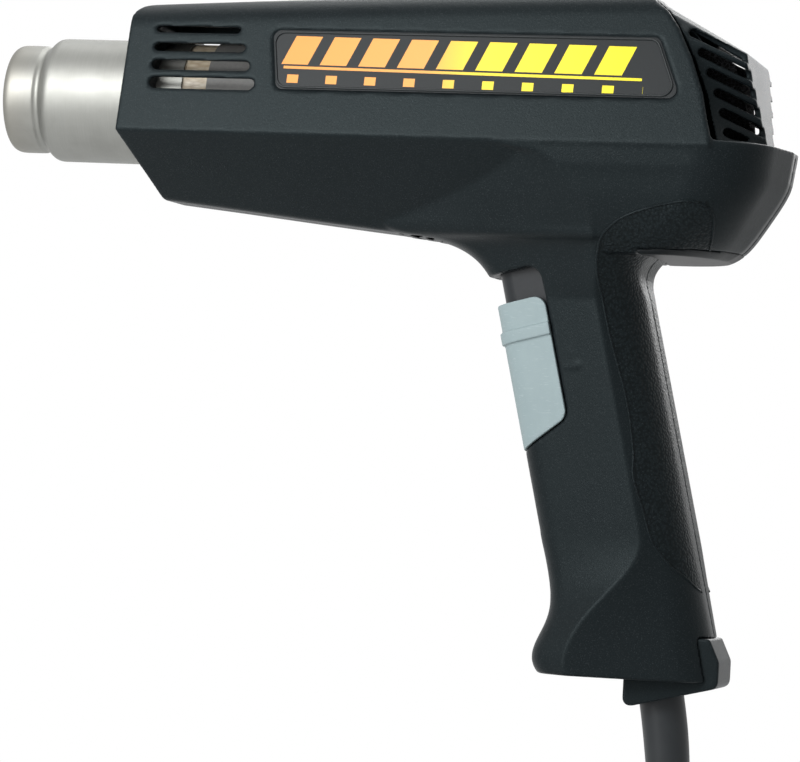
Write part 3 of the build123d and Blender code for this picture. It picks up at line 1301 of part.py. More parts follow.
write(power_cord_tube, "power_cord")
write(coil, "cord_coil")
write(plug_cord_tube, "plug_cord")
write(plug_body(), "plug_body")
write(plug_blades(), "plug_blades")

for name, bends, solid in (("inner cord", inner_bends, inner_cord_tube),
                           ("power cord", power_bends, power_cord_tube),
                           ("plug cord", plug_bends, plug_cord_tube)):
    print(name, "bend radii", [round(bend, 1) for bend in bends],
          "length", round(solid.volume / (math.pi * CORD_R ** 2), 1))
print("coil length", round(coil_path.length, 1), "by volume",
      round(coil.volume / (math.pi * CORD_R ** 2), 1),
      "least gap to itself", round(self_gap(coil_path, CORD_R), 2))
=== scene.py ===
import math

import bpy
import bmesh
import numpy as np
from mathutils import Matrix, Vector
from mathutils.bvhtree import BVHTree


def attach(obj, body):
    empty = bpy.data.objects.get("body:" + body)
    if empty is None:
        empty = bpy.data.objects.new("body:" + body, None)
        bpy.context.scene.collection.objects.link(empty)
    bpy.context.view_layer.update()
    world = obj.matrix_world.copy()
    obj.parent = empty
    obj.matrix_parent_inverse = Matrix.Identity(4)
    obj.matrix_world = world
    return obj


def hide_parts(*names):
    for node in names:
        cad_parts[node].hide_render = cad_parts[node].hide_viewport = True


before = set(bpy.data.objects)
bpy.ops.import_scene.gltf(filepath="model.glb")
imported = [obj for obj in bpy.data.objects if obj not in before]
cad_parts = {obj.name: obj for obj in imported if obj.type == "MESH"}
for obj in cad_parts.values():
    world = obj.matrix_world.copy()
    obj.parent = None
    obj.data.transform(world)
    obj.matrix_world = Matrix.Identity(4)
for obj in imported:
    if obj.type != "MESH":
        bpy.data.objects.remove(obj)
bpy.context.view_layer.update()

# The camera. It looks at the left side of the tool from a little in front and from slightly below
# the nozzle's axis, at the distance of a long lens, turned so that the barrel droops forward.
MM = 0.001
GRIP_MIDDLE_X, GRIP_MIDDLE_Z = 196.0, -110.0


def place(x, y, z):
    """A point given in millimetres from the nozzle's mouth, as metres in the shared frame."""
    return Vector(((x - GRIP_MIDDLE_X) * MM, y * MM, (z - GRIP_MIDDLE_Z) * MM))


VIEW_TURN, VIEW_RISE, VIEW_ROLL = math.radians(14.0), math.radians(-1.5), math.radians(3.092)
VIEW_DISTANCE, VIEW_LENS = 1.2, 173.871
VIEW_TARGET = place(128.34, 0, -84.19)
look_back = Vector((math.sin(VIEW_TURN) * math.cos(VIEW_RISE),
                    -math.cos(VIEW_TURN) * math.cos(VIEW_RISE), math.sin(VIEW_RISE)))
level_right = Vector((math.cos(VIEW_TURN), math.sin(VIEW_TURN), 0))
level_up = look_back.cross(level_right)
right = level_right * math.cos(VIEW_ROLL) + level_up * math.sin(VIEW_ROLL)
up = level_up * math.cos(VIEW_ROLL) - level_right * math.sin(VIEW_ROLL)
camera = bpy.data.objects.new("camera", bpy.data.cameras.new("camera"))
bpy.context.scene.collection.objects.link(camera)
camera.matrix_world = Matrix.Translation(VIEW_TARGET + look_back * VIEW_DISTANCE) @ Matrix(
    (right, up, look_back)).transposed().to_4x4()
camera.data.lens, camera.data.sensor_width = VIEW_LENS, 36.0
camera.data.clip_start, camera.data.clip_end = 0.05, 20.0
bpy.context.scene.camera = camera
bpy.context.scene.view_settings.view_transform = "Standard"


# The studio: a pale round floor under the coil of cord, which fades into a white surround, and
# four soft lamps. The floor shows white to the camera and keeps the tool's shadow.
class Value:
    """An output of a node: arithmetic written on it adds Math nodes to the same tree."""

    def __init__(self, graph, socket):
        self.graph, self.socket = graph, socket

    def maths(self, operation, *values):
        return self.graph.node("ShaderNodeMath", {"operation": operation}, dict(enumerate(values)))

    def __add__(self, other):
        return self.maths("ADD", self, other)

    def __sub__(self, other):
        return self.maths("SUBTRACT", self, other)

    def __rsub__(self, other):
        return self.maths("SUBTRACT", other, self)

    def __mul__(self, other):
        return self.maths("MULTIPLY", self, other)

    def __truediv__(self, other):
        return self.maths("DIVIDE", self, other)

    __radd__, __rmul__ = __add__, __mul__

    def higher_of(self, other):
        return self.maths("MAXIMUM", self, other)

    def past(self, edge, blur):
        """A soft step from 0 to 1 across the edge."""
        inputs = {"Value": self, "From Min": edge - blur, "From Max": edge + blur}
        return self.graph.node("ShaderNodeMapRange", {"interpolation_type": "SMOOTHSTEP"}, inputs)


class Graph:
    """A node tree in the making."""

    def __init__(self, tree):
        self.tree = tree

    def node(self, kind, settings=None, inputs=None, output=0):
        """Adds one node: its settings first, then the values or links of its sockets."""
        made = self.tree.nodes.new(kind)
        for key, value in (settings or {}).items():
            if key == "stops":
                stops = made.color_ramp.elements
                stops.remove(stops[1])
                stops[0].position, stops[0].color = value[0][0], (*value[0][1], 1)
                for position, colour in value[1:]:
                    stops.new(position).color = (*colour, 1)
            elif key == "points":
                curve = made.mapping.curves[0]
                curve.points[0].location, curve.points[-1].location = value[0], value[-1]
                for point in value[1:-1]:
                    curve.points.new(*point)
                for point in curve.points:
                    point.handle_type = "VECTOR"
                made.mapping.update()
            else:
                setattr(made, key, value)
        for key, value in (inputs or {}).items():
            if isinstance(value, Value):
                self.tree.links.new(value.socket, made.inputs[key])
            else:
                made.inputs[key].default_value = value
        return Value(self, made.outputs[output])


class Finish(Graph):
    """A procedural material: one Principled shader, whose sockets take values or links."""

    def __init__(self, name):
        self.material = bpy.data.materials.new(name)
        self.material.use_nodes = True
        super().__init__(self.material.node_tree)
        self.shader = self.tree.nodes["Principled BSDF"]
        self.output = self.tree.nodes["Material Output"]
        position = self.node("ShaderNodeTexCoord", output="Object")
        self.mm = self.node("ShaderNodeVectorMath", {"operation": "SCALE"}, {0: position, "Scale": 1 / MM})
        self.x = self.node("ShaderNodeSeparateXYZ", None, {0: self.mm}, 0) + GRIP_MIDDLE_X
        self.y = self.node("ShaderNodeSeparateXYZ", None, {0: self.mm}, 1)
        self.z = self.node("ShaderNodeSeparateXYZ", None, {0: self.mm}, 2) + GRIP_MIDDLE_Z

    def set(self, **sockets):
        for key, value in sockets.items():
            socket = self.shader.inputs[key.replace("_", " ")]
            if isinstance(value, Value):
                self.tree.links.new(value.socket, socket)
            else:
                socket.default_value = (*value, 1) if isinstance(value, tuple) else value
        return self

    def noise(self, scale, detail=2.0, rough=0.5, at=None):
        """Noise whose scale is in features per millimetre."""
        inputs = {"Vector": at or self.mm, "Scale": scale, "Detail": detail, "Roughness": rough}
        return self.node("ShaderNodeTexNoise", None, inputs)

    def stretched(self, x, y, z):
        return self.node("ShaderNodeVectorMath", {"operation": "MULTIPLY"}, {0: self.mm, 1: (x, y, z)})

    def blend(self, factor, first, second):
        """A colour mixed from two colours or links."""
        made = self.tree.nodes.new("ShaderNodeMix")
        made.data_type = "RGBA"
        for key, value in ((0, factor), (6, first), (7, second)):
            if isinstance(value, Value):
                self.tree.links.new(value.socket, made.inputs[key])
            else:
                made.inputs[key].default_value = (*value, 1) if isinstance(value, tuple) else value
        return Value(self, made.outputs[2])

    def bump(self, height, depth, strength=1.0):
        """A bump whose depth is in millimetres."""
        inputs = {"Height": height, "Distance": depth * MM, "Strength": strength}
        return self.node("ShaderNodeBump", None, inputs)


FLOOR_Z = -296.0
FLOOR_MIDDLE = place(150, 0, FLOOR_Z)
FLOOR_RADIUS, FLOOR_CLEAR_RADIUS, FLOOR_SIDES = 1.1, 0.42, 96
floor_mesh = bpy.data.meshes.new("floor")
shape = bmesh.new()
bmesh.ops.create_circle(shape, cap_ends=True, radius=FLOOR_RADIUS, segments=FLOOR_SIDES,
                        matrix=Matrix.Translation(FLOOR_MIDDLE))
shape.to_mesh(floor_mesh)
shape.free()
floor = bpy.data.objects.new("floor", floor_mesh)
bpy.context.scene.collection.objects.link(floor)
pale = Finish("pale_floor").set(Base_Color=(0.62, 0.62, 0.62), Roughness=0.9, Specular_IOR_Level=0.1)
ray = pale.tree.nodes.new("ShaderNodeLightPath")
seen = Value(pale, ray.outputs["Is Camera Ray"]).higher_of(Value(pale, ray.outputs["Is Glossy Ray"]))
seen = seen.higher_of(Value(pale, ray.outputs["Is Transmission Ray"]))
white = pale.node("ShaderNodeEmission", None, {"Color": (1, 1, 1, 1), "Strength": 1.0})
shaded = pale.node("ShaderNodeBsdfDiffuse", None, {"Color": (0.97, 0.97, 0.97, 1)})
distance = pale.node("ShaderNodeVectorMath", {"operation": "DISTANCE"},
                     {0: pale.mm, 1: tuple(FLOOR_MIDDLE / MM)}, "Value")
fade = distance.past((FLOOR_CLEAR_RADIUS + FLOOR_RADIUS) / 2 / MM,
                     (FLOOR_RADIUS - FLOOR_CLEAR_RADIUS) / 2 / MM)
near_floor = pale.node("ShaderNodeMixShader", None, {0: fade, 1: shaded, 2: white})
lit_floor = pale.node("ShaderNodeMixShader", None,
                      {0: seen, 1: Value(pale, pale.shader.outputs[0]), 2: near_floor})
pale.tree.links.new(lit_floor.socket, pale.output.inputs["Surface"])
floor_mesh.materials.append(pale.material)

world = bpy.data.worlds.new("white_surround")
world.use_nodes = True
bpy.context.scene.world = world
SURROUND_LIGHT = 0.25
surround = Graph(world.node_tree)
ray = world.node_tree.nodes.new("ShaderNodeLightPath")
seen = Value(surround, ray.outputs["Is Camera Ray"]).higher_of(Value(surround, ray.outputs["Is Glossy Ray"]))
seen = seen.higher_of(Value(surround, ray.outputs["Is Transmission Ray"]))
lamp_level = surround.node("ShaderNodeBackground", None,
                           {"Color": (0.96, 0.98, 1.0, 1), "Strength": SURROUND_LIGHT})
shown_level = surround.node("ShaderNodeBackground", None, {"Color": (1, 1, 1, 1), "Strength": 1.0})
both = surround.node("ShaderNodeMixShader", None, {0: seen, 1: lamp_level, 2: shown_level})
world.node_tree.links.new(both.socket, world.node_tree.nodes["World Output"].inputs["Surface"])

# Each row: name, place in millimetres, width and height in metres, power in watts
LAMPS = [("key_lamp", (-160, -640, 300), 0.45, 0.35, 6.5),
         ("side_lamp", (-420, -780, 60), 0.35, 0.5, 3.0),
         ("top_lamp", (170, 300, 850), 0.9, 0.5, 5.5),
         ("far_lamp", (130, 800, 300), 0.6, 0.6, 4.5)]
LAMP_AIM = place(140, 0, -60)
for name, spot, wide, high, power in LAMPS:
    lamp = bpy.data.lights.new(name, "AREA")
    lamp.shape, lamp.size, lamp.size_y, lamp.energy = "RECTANGLE", wide, high, power
    holder = bpy.data.objects.new(name, lamp)
    bpy.context.scene.collection.objects.link(holder)
    holder.location = place(*spot)
    holder.rotation_euler = (LAMP_AIM - holder.location).to_track_quat("-Z", "Y").to_euler()


# The mains cord: a round black rubbery cord that drops out of its sleeve, bends on to the floor,
# is wound away there as a neat coil of two layers and ends in its plug.
CORD_RADIUS = 3.8
SLEEVE_TIP, SLEEVE_LAST = (220.2, 0.0, -228.0), (219.8, 0.0, -213.0)
CORD_FIRST_RUN, CORD_LAST_RUN, TAIL_FIRST_RUN = 16.5, 14.7, 12.7
CORD_POINTS = [(220.2, 0.9, -263.0), (216.1, 4.5, -276.0), (209.1, 11.5, -285.9)]
TAIL_POINTS = [(83.0, 12.5, -286.0), (75.5, -0.5, -288.4), (68.5, -12.6, -288.4)]
COIL_X, COIL_Y, COIL_MIDDLE_RADIUS, COIL_PITCH, COIL_LAYER = 145.7, -1.9, 42.0, 8.2, 8.1
TURNS_IN, TURNS_OUT, COIL_START = 3.0, 3.25, math.radians(45.0)
POINTS_PER_TURN = 24
CORD_STEPS, CORD_SIDES = 5, 7


def coil_point(turns):
    """The middle of the cord after so many turns of the coil, in millimetres."""
    past_inside = turns - TURNS_IN
    radius = COIL_MIDDLE_RADIUS - COIL_PITCH * TURNS_IN / 2 + COIL_PITCH * abs(past_inside)
    climbed = min(max((past_inside + 0.25) * 2, 0), 1)
    angle = COIL_START + 2 * math.pi * turns
    return Vector((COIL_X + radius * math.cos(angle), COIL_Y + radius * math.sin(angle),
                   FLOOR_Z + CORD_RADIUS + COIL_LAYER * (1 - math.cos(math.pi * climbed)) / 2))


def onward(start, end, distance):
    """The point that far past the end, along the line from the start."""
    return end + (end - start).normalized() * distance


coil_steps = round((TURNS_IN + TURNS_OUT) * POINTS_PER_TURN)
coil = [coil_point(number / POINTS_PER_TURN) for number in range(coil_steps + 1)]
SMALL_TURN = 0.002
coil_entry = onward(coil_point(SMALL_TURN), coil[0], 2 * CORD_RADIUS)
coil_exit = onward(coil_point(TURNS_IN + TURNS_OUT - SMALL_TURN), coil[-1], 2 * CORD_RADIUS)
tip = Vector(SLEEVE_TIP)
route = [tip, onward(Vector(SLEEVE_LAST), tip, CORD_FIRST_RUN)] + [Vector(point) for point in CORD_POINTS]
route += [onward(coil[0], coil_entry, CORD_LAST_RUN), coil_entry] + coil
route += [coil_exit, onward(coil[-1], coil_exit, TAIL_FIRST_RUN)] + [Vector(point) for point in TAIL_POINTS]
cord_line = bpy.data.curves.new("mains_cord", "CURVE")
cord_line.dimensions = "3D"
spline = cord_line.splines.new("NURBS")
spline.points.add(len(route) - 1)
for point, spot in zip(spline.points, route):
    point.co = (*place(*spot), 1)
spline.order_u = 3
spline.use_endpoint_u = True
spline.resolution_u = CORD_STEPS
cord_line.bevel_depth, cord_line.bevel_resolution = CORD_RADIUS * MM, CORD_SIDES
cord_line.use_fill_caps = True
mains_cord = bpy.data.objects.new("mains_cord", cord_line)
bpy.context.scene.collection.objects.link(mains_cord)


def dress(names, finish):
    """Gives CAD nodes one procedural material."""
    for name in names:
        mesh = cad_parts[name].data
        mesh.materials.clear()
        mesh.materials.append(finish.material)
        mesh.polygons.foreach_set("material_index", [0] * len(mesh.polygons))


rubber = Finish("cord_rubber")
dust = rubber.noise(0.06, 3.0, 0.6)
ripple = rubber.noise(0.35, 2.0)
rubber.set(Base_Color=rubber.blend(dust.past(0.56, 0.16), (0.009, 0.010, 0.012), (0.016, 0.018, 0.020)),
           Roughness=0.36 + 0.16 * ripple, Specular_IOR_Level=0.2,
           Normal=rubber.bump(rubber.noise(3.0, 2.0) + ripple * 2.0, 0.03, 0.5))
cord_line.materials.append(rubber.material)
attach(mains_cord, "housing")
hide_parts("power_cord", "cord_coil", "plug_cord")
dress(["inner_cord"], rubber)
tuple(place(*SLEEVE_TIP))

# The plug: a moulded black two-pin plug with a tapering neck, and its two plated brass blades with
# a hole near the end of each.
plug_skin = Finish("plug_rubber")
mould = plug_skin.noise(0.8, 3.0)
plug_skin.set(Base_Color=plug_skin.blend(mould, (0.009, 0.010, 0.011), (0.016, 0.017, 0.019)),
              Roughness=0.42 + 0.15 * mould, Specular_IOR_Level=0.2,
              Normal=plug_skin.bump(plug_skin.noise(2.4, 3.0), 0.05, 0.5))
dress(["plug_body"], plug_skin)
plated = Finish("plated_brass")
rubbed = plated.noise(1.2, 3.0, 0.6, plated.stretched(0.15, 1.0, 1.0))
plated.set(Base_Color=plated.blend(rubbed, (0.56, 0.50, 0.36), (0.72, 0.68, 0.56)), Metallic=1.0,
           Roughness=0.22 + 0.22 * rubbed, Normal=plated.bump(rubbed, 0.01, 0.4))
dress(["plug_blades"], plated)


# The housing: two half-shells moulded in black glass-filled nylon, spark textured all over, with a
# leather-grained field round the back of the grip, and screwed together from the far side.
WELD = 1e-6


def linked(name, mesh):
    made = bpy.data.objects.new(name, mesh)
    bpy.context.scene.collection.objects.link(made)
    return made


def plain_mesh(piece):
    """The evaluated piece as a mesh of its own, with its modifiers taken off."""
    bpy.context.view_layer.update()
    mesh = bpy.data.meshes.new_from_object(piece.evaluated_get(bpy.context.evaluated_depsgraph_get()))
    piece.modifiers.clear()
    return mesh


def softened(node, name, voxel, passes, most_faces):
    """A copy of a CAD node with its edges rounded off, as a mould leaves them."""
    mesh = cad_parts[node].data.copy()
    shape = bmesh.new()
    shape.from_mesh(mesh)
    bmesh.ops.remove_doubles(shape, verts=shape.verts, dist=WELD)
    shape.to_mesh(mesh)
    shape.free()
    if "custom_normal" in mesh.attributes:
        mesh.attributes.remove(mesh.attributes["custom_normal"])
    piece = linked(name, mesh)
    remesh = piece.modifiers.new("remesh", "REMESH")
    remesh.mode, remesh.voxel_size, remesh.use_smooth_shade = "VOXEL", voxel * MM, True
    smooth = piece.modifiers.new("smooth", "SMOOTH")
    smooth.factor, smooth.iterations = 0.5, passes
    piece.data = plain_mesh(piece)
    faces = 2 * len(piece.data.polygons)
    if faces > most_faces:
        thin = piece.modifiers.new("thin", "DECIMATE")
        thin.ratio = most_faces / faces
        piece.data = plain_mesh(piece)
    piece.data.polygons.foreach_set("use_smooth", [True] * len(piece.data.polygons))
    piece.data.materials.clear()
    return piece


nylon = Finish("black_spark_textured_nylon")
# The grained field: the box that its front edge lies in, its bottom and top, and its slanted rear end
FIELD_LOW_Z, FIELD_HIGH_Z, FIELD_LOW_X, FIELD_HIGH_X = -150.0, -26.0, 190.0, 262.0
FIELD_BOTTOM_Z, FIELD_TOP_Z = -149.0, -27.5
FIELD_REAR_X, FIELD_REAR_LEAN, FIELD_REAR_Z = 232.6, 0.12, -42.0
# Its front edge: the height and the distance along the tool of each point
FIELD_EDGE = [(-150, 236), (-146, 229.4), (-139.3, 223.6), (-136.6, 219.5), (-129.7, 214), (-120.3, 210.7),
              (-113, 207.6), (-102.4, 206.7), (-87, 203.7), (-67.2, 197.5), (-52.1, 194), (-43.5, 193.9),
              (-37.2, 197), (-32, 205), (-29.3, 213), (-28, 220.2), (-27.4, 227), (-26, 262)]
across = nylon.node("ShaderNodeFloatCurve", {"points": [
    ((z - FIELD_LOW_Z) / (FIELD_HIGH_Z - FIELD_LOW_Z), (x - FIELD_LOW_X) / (FIELD_HIGH_X - FIELD_LOW_X))
    for z, x in FIELD_EDGE]}, {"Value": (nylon.z - FIELD_LOW_Z) / (FIELD_HIGH_Z - FIELD_LOW_Z)})
edge_x = across * (FIELD_HIGH_X - FIELD_LOW_X) + FIELD_LOW_X
field = (nylon.x - edge_x).past(0.0, 0.5)
field = field * nylon.z.past(FIELD_BOTTOM_Z, 0.5) * (1 - nylon.z.past(FIELD_TOP_Z, 0.5))
behind = (nylon.x - FIELD_REAR_LEAN * nylon.z).past(FIELD_REAR_X, 0.6)
field = field * (1 - behind * nylon.z.past(FIELD_REAR_Z, 2.0))
spark = nylon.noise(1.5, 3.0, 0.62)
fine_spark = nylon.noise(4.0, 2.0)
PEBBLES_PER_MM = 1.15
pebbles = nylon.node("ShaderNodeTexVoronoi", {"feature": "SMOOTH_F1"},
                     {"Vector": nylon.mm, "Scale": PEBBLES_PER_MM, "Smoothness": 0.35}, "Distance")
handled = nylon.noise(0.03, 3.0, 0.55)
# Lighter specks in the nylon's colour: painted glints, painted highlights of the spark texture.
painted_glint = fine_spark.past(0.64, 0.05)
skin = nylon.blend(handled, (0.0042, 0.0062, 0.0072), (0.0070, 0.0096, 0.0108))
skin = nylon.blend(painted_glint * 0.5, skin, (0.045, 0.052, 0.055))
# Darker between the pebbles of the grained field: painted shade in the pits of the grain.
skin = nylon.blend(field * pebbles.past(0.52, 0.12) * 0.7, skin, (0.0015, 0.0020, 0.0022))
height = nylon.blend(field, (spark + fine_spark * 0.5), ((1 - pebbles) * 3.6 + spark * 0.35))
nylon.set(Base_Color=skin, Roughness=0.36 + 0.08 * handled, Specular_IOR_Level=0.10,
          Specular_Tint=(0.80, 0.97, 1.0), Normal=nylon.bump(height, 0.11, 0.6))
SHELL_VOXEL, SHELL_PASSES, SHELL_FACES = 0.6, 5, 180000
for side in ("left", "right"):
    shell = softened(side + "_housing_shell", side + "_half_shell", SHELL_VOXEL, SHELL_PASSES, SHELL_FACES)
    shell.data.materials.append(nylon.material)
    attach(shell, "housing")
    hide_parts(side + "_housing_shell")


# The fine raised line round the grained field on each side of the grip, moulded with the shells.
class Growth(Graph):
    """A Geometry Nodes tree with a geometry in and out and a named size for each entry."""

    def __init__(self, name, **sizes):
        super().__init__(bpy.data.node_groups.new(name, "GeometryNodeTree"))
        faces = self.tree.interface
        faces.new_socket("Geometry", in_out="INPUT", socket_type="NodeSocketGeometry")
        faces.new_socket("Geometry", in_out="OUTPUT", socket_type="NodeSocketGeometry")
        for key, value in sizes.items():
            faces.new_socket(key, in_out="INPUT", socket_type="NodeSocketFloat").default_value = value
        entry = self.tree.nodes.new("NodeGroupInput")
        self.start = Value(self, entry.outputs["Geometry"])
        self.sizes = {key: Value(self, entry.outputs[key]) for key in sizes}

    def close(self, geometry, finish):
        """Ends the tree: instances made real, and the finish set."""
        real = self.node("GeometryNodeRealizeInstances", None, {0: geometry})
        done = self.node("GeometryNodeSetMaterial", None, {"Geometry": real, "Material": finish.material})
        smooth = self.node("GeometryNodeSetShadeSmooth", None, {0: done})
        leave = self.tree.nodes.new("NodeGroupOutput")
        self.tree.links.new(smooth.socket, leave.inputs[0])
        return self

    def grow(self, name, start, **sizes):
        """A plain mesh object of what the tree makes of the start, at the sizes given."""
        seed = linked(name + "_seed", start)
        modifier = seed.modifiers.new("growth", "NODES")
        modifier.node_group = self.tree
        sockets = {item.name: item.identifier
                   for item in self.tree.interface.items_tree if item.in_out == "INPUT"}
        for key, value in sizes.items():
            modifier[sockets[key]] = value
        bpy.context.view_layer.update()
        mesh = bpy.data.meshes.new_from_object(seed.evaluated_get(bpy.context.evaluated_depsgraph_get()))
        bpy.data.objects.remove(seed)
        return linked(name, mesh)


def flowing(points, closed=False, steps=10):
    """A smooth line through points."""
    count = len(points)
    rows = [np.array(point, float) for point in points]
    line = []
    for number in range(count if closed else count - 1):
        if closed:
            a, b, c, d = (rows[(number + k) % count] for k in (-1, 0, 1, 2))
        else:
            a, b, c, d = (rows[min(max(number + k, 0), count - 1)] for k in (-1, 0, 1, 2))
        for k in range(steps):
            t = k / steps
            line.append(0.5 * (2 * b + (c - a) * t + (2 * a - 5 * b + 4 * c - d) * t * t
                               + (3 * b - 3 * c + d - a) * t ** 3))
    if not closed:
        line.append(rows[-1])
    return line


def surface_of(piece):
    """The piece's surface, ready for finding where lines meet it."""
    mesh = piece.data
    return BVHTree.FromPolygons([v.co for v in mesh.vertices], [p.vertices[:] for p in mesh.polygons])


OUTSIDE_Y = 120.0


def on_side(tree, line, side):
    """The places where a line drawn in the side view meets a surface, on the left or right side."""
    found = []
    for x, z in line:
        hit = tree.ray_cast(place(x, side * OUTSIDE_Y, z), Vector((0, -side, 0)))[0]
        if hit is not None:
            found.append(hit)
    return found


def line_mesh(name, points, closed=False):
    mesh = bpy.data.meshes.new(name)
    edges = [(k, k + 1) for k in range(len(points) - 1)]
    if closed:
        edges.append((len(points) - 1, 0))
    mesh.from_pydata([tuple(point) for point in points], edges, [])
    return mesh


bead = Growth("bead_along_a_line", Radius=0.0003, Step=0.0008)
path = bead.node("GeometryNodeMeshToCurve", None, {0: bead.start})
path = bead.node("GeometryNodeResampleCurve", {"mode": "LENGTH"},
                 {"Curve": path, "Length": bead.sizes["Step"]})
ring = bead.node("GeometryNodeCurvePrimitiveCircle", None, {"Resolution": 10, "Radius": bead.sizes["Radius"]})
strand = bead.node("GeometryNodeCurveToMesh", None,
                   {"Curve": path, "Profile Curve": ring, "Fill Caps": True})
bead.close(strand, nylon)
FIELD_OUTLINE = [(226.5, -42), (228.1, -37.7), (229.0, -32.3), (226.9, -29), (220.2, -28), (205, -32),
                 (197, -37.2), (193.9, -43.5), (194, -52.1), (197.5, -67.2), (203.7, -87), (206.7, -102.4),
                 (207.2, -110), (210.7, -120.3), (214, -129.7), (219.5, -136.6), (223.6, -139.8),
                 (229.4, -146)]
FIELD_LINE_RADIUS = 0.38
for side, name in ((-1, "left"), (1, "right")):
    points = on_side(surface_of(bpy.data.objects[name + "_half_shell"]), flowing(FIELD_OUTLINE), side)
    line = bead.grow(name + "_field_line", line_mesh("field_line", points), Radius=FIELD_LINE_RADIUS * MM)
    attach(line, "housing")


# The nameplates: printed films let into the sides of the hood, each with a raised rounded border.
# In place of words they carry a generic pattern of slanted bars that run from amber to yellow.
film = Finish("printed_film")
BARS_START, BARS_END, BARS_PITCH, BARS_SHARE, BARS_SLANT = 92.0, 203.0, 12.4, 0.70, 0.42
BARS_LOW, BARS_HIGH = 10.6, 19.6
RULE_START, RULE_END, RULE_Z, RULE_HALF = 93.0, 205.6, 9.6, 0.42
DASHES_START, DASHES_END, DASHES_PITCH, DASHES_SHARE = 94.4, 206.2, 12.4, 0.30
DASHES_LOW, DASHES_HIGH = 4.7, 7.3
PRINT_FALL, RULE_FALL = 0.012, 0.013
INK_BLUR = 0.08
leant = film.x - BARS_SLANT * (film.z - BARS_LOW)


def between_edges(value, low, high, blur=INK_BLUR):
    """1 between two edges and 0 outside them."""
    return value.past(low, blur) * (1 - value.past(high, blur))


def repeated(value, start, pitch, share):
    """1 on the first share of each pitch."""
    phase = value.maths("FRACT", (value - start) / pitch)
    return between_edges(phase, 0.012, share, INK_BLUR / pitch)


bars = repeated(leant, BARS_START, BARS_PITCH, BARS_SHARE) * between_edges(leant, BARS_START, BARS_END)
bars = bars * between_edges(film.z + PRINT_FALL * (film.x - BARS_START), BARS_LOW, BARS_HIGH)
rule_z = film.z + RULE_FALL * (film.x - RULE_START)
rule = between_edges(rule_z, RULE_Z - RULE_HALF, RULE_Z + RULE_HALF)
rule = rule * between_edges(film.x, RULE_START, RULE_END)
dashes = repeated(film.x, DASHES_START, DASHES_PITCH, DASHES_SHARE)
dashes = dashes * between_edges(film.x, DASHES_START, DASHES_END)
dashes = dashes * between_edges(film.z + PRINT_FALL * (film.x - DASHES_START), DASHES_LOW, DASHES_HIGH)
along = (film.x - BARS_START) / (BARS_END - BARS_START)
INK_STOPS = [(0.0, (0.72, 0.30, 0.075)), (0.42, (0.78, 0.36, 0.10)),
             (0.56, (0.90, 0.66, 0.06)), (1.0, (0.86, 0.72, 0.03))]
ink = film.node("ShaderNodeValToRGB", {"stops": INK_STOPS}, {0: along})
mottle = film.noise(0.9, 3.0)
ground = film.blend(mottle, (0.0075, 0.0098, 0.0108), (0.0115, 0.0142, 0.0155))
printed = film.blend(bars.higher_of(dashes).higher_of(rule), ground, ink)
film.set(Base_Color=printed, Roughness=0.36 + 0.08 * mottle, Specular_IOR_Level=0.14,
         Normal=film.bump(film.noise(1.6, 2.0) + bars * 0.6, 0.02, 0.5))
PLATE_CORNERS = [(88.6, 20.7), (209.2, 20.7), (216.6, 3.3), (91.8, 3.3)]
BORDER_RADIUS, BORDER_CORNER, BORDER_STEPS, BORDER_SPACING = 0.42, 3.2, 8, 1.5


def rounded_corners(corners, radius, steps):
    """A closed outline with each corner turned by an arc."""
    line = []
    for number, corner in enumerate(corners):
        a, b, c = (np.array(corners[(number + k) % len(corners)], float) for k in (-1, 0, 1))
        before, after = (a - b) / np.linalg.norm(a - b), (c - b) / np.linalg.norm(c - b)
        half = math.acos(float(np.clip(before @ after, -1, 1))) / 2
        reach = radius / math.tan(half)
        middle = b + (before + after) / np.linalg.norm(before + after) * radius / math.sin(half)
        first, last = b + before * reach - middle, b + after * reach - middle
        turn = math.atan2(first[0] * last[1] - first[1] * last[0], first @ last)
        for k in range(steps + 1):
            angle = turn * k / steps
            spin = np.array([[math.cos(angle), -math.sin(angle)], [math.sin(angle), math.cos(angle)]])
            line.append(middle + spin @ first)
    return line


def evenly(line, step):
    """The same closed line with points close together on its straight stretches."""
    dense = []
    for a, b in zip(line, line[1:] + line[:1]):
        count = max(1, round(float(np.linalg.norm(b - a)) / step))
        dense += [a + (b - a) * k / count for k in range(count)]
    return dense


border = Finish("film_border")
border.set(Base_Color=(0.011, 0.014, 0.015), Roughness=0.36 + 0.1 * border.noise(0.8), Specular_IOR_Level=0.2,
           Normal=border.bump(border.noise(1.6, 2.0), 0.02, 0.4))
for side, name in ((-1, "left"), (1, "right")):
    plate = softened(name + "_nameplate", name + "_plate", voxel=0.16, passes=2, most_faces=60000)
    plate.data.materials.append(film.material)
    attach(plate, "housing")
    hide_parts(name + "_nameplate")
    outline = evenly(rounded_corners(PLATE_CORNERS, BORDER_CORNER, BORDER_STEPS), BORDER_SPACING)
    points = on_side(surface_of(plate), outline, side)
    rim_line = line_mesh("plate_border", points, True)
    rim = bead.grow(name + "_plate_border", rim_line, Radius=BORDER_RADIUS * MM)
    rim.data.materials.clear()
    rim.data.materials.append(border.material)
    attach(rim, "housing")


# The intake grille: a louvred cap of the same black nylon that closes the back of the hood, with a
# block of dark open foam behind it that keeps dust out of the fan.
grille = softened("intake_grille", "louvred_grille", voxel=0.42, passes=4, most_faces=150000)
grille.data.materials.append(nylon.material)
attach(grille, "housing")
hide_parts("intake_grille")
foam = Finish("open_foam")
CELLS_PER_MM = 0.9
cells = foam.node("ShaderNodeTexVoronoi", {"feature": "DISTANCE_TO_EDGE"},
                  {"Vector": foam.mm, "Scale": CELLS_PER_MM}, "Distance")
# The cells between the struts are near black: painted shade in the open pores of the foam.
strut = 1 - cells.past(0.10, 0.08)
foam.set(Base_Color=foam.blend(strut, (0.002, 0.002, 0.002), (0.020, 0.021, 0.023)), Roughness=0.9,
         Specular_IOR_Level=0.1, Normal=foam.bump(strut, 0.6, 1.0))
dress(["intake_filter"], foam)


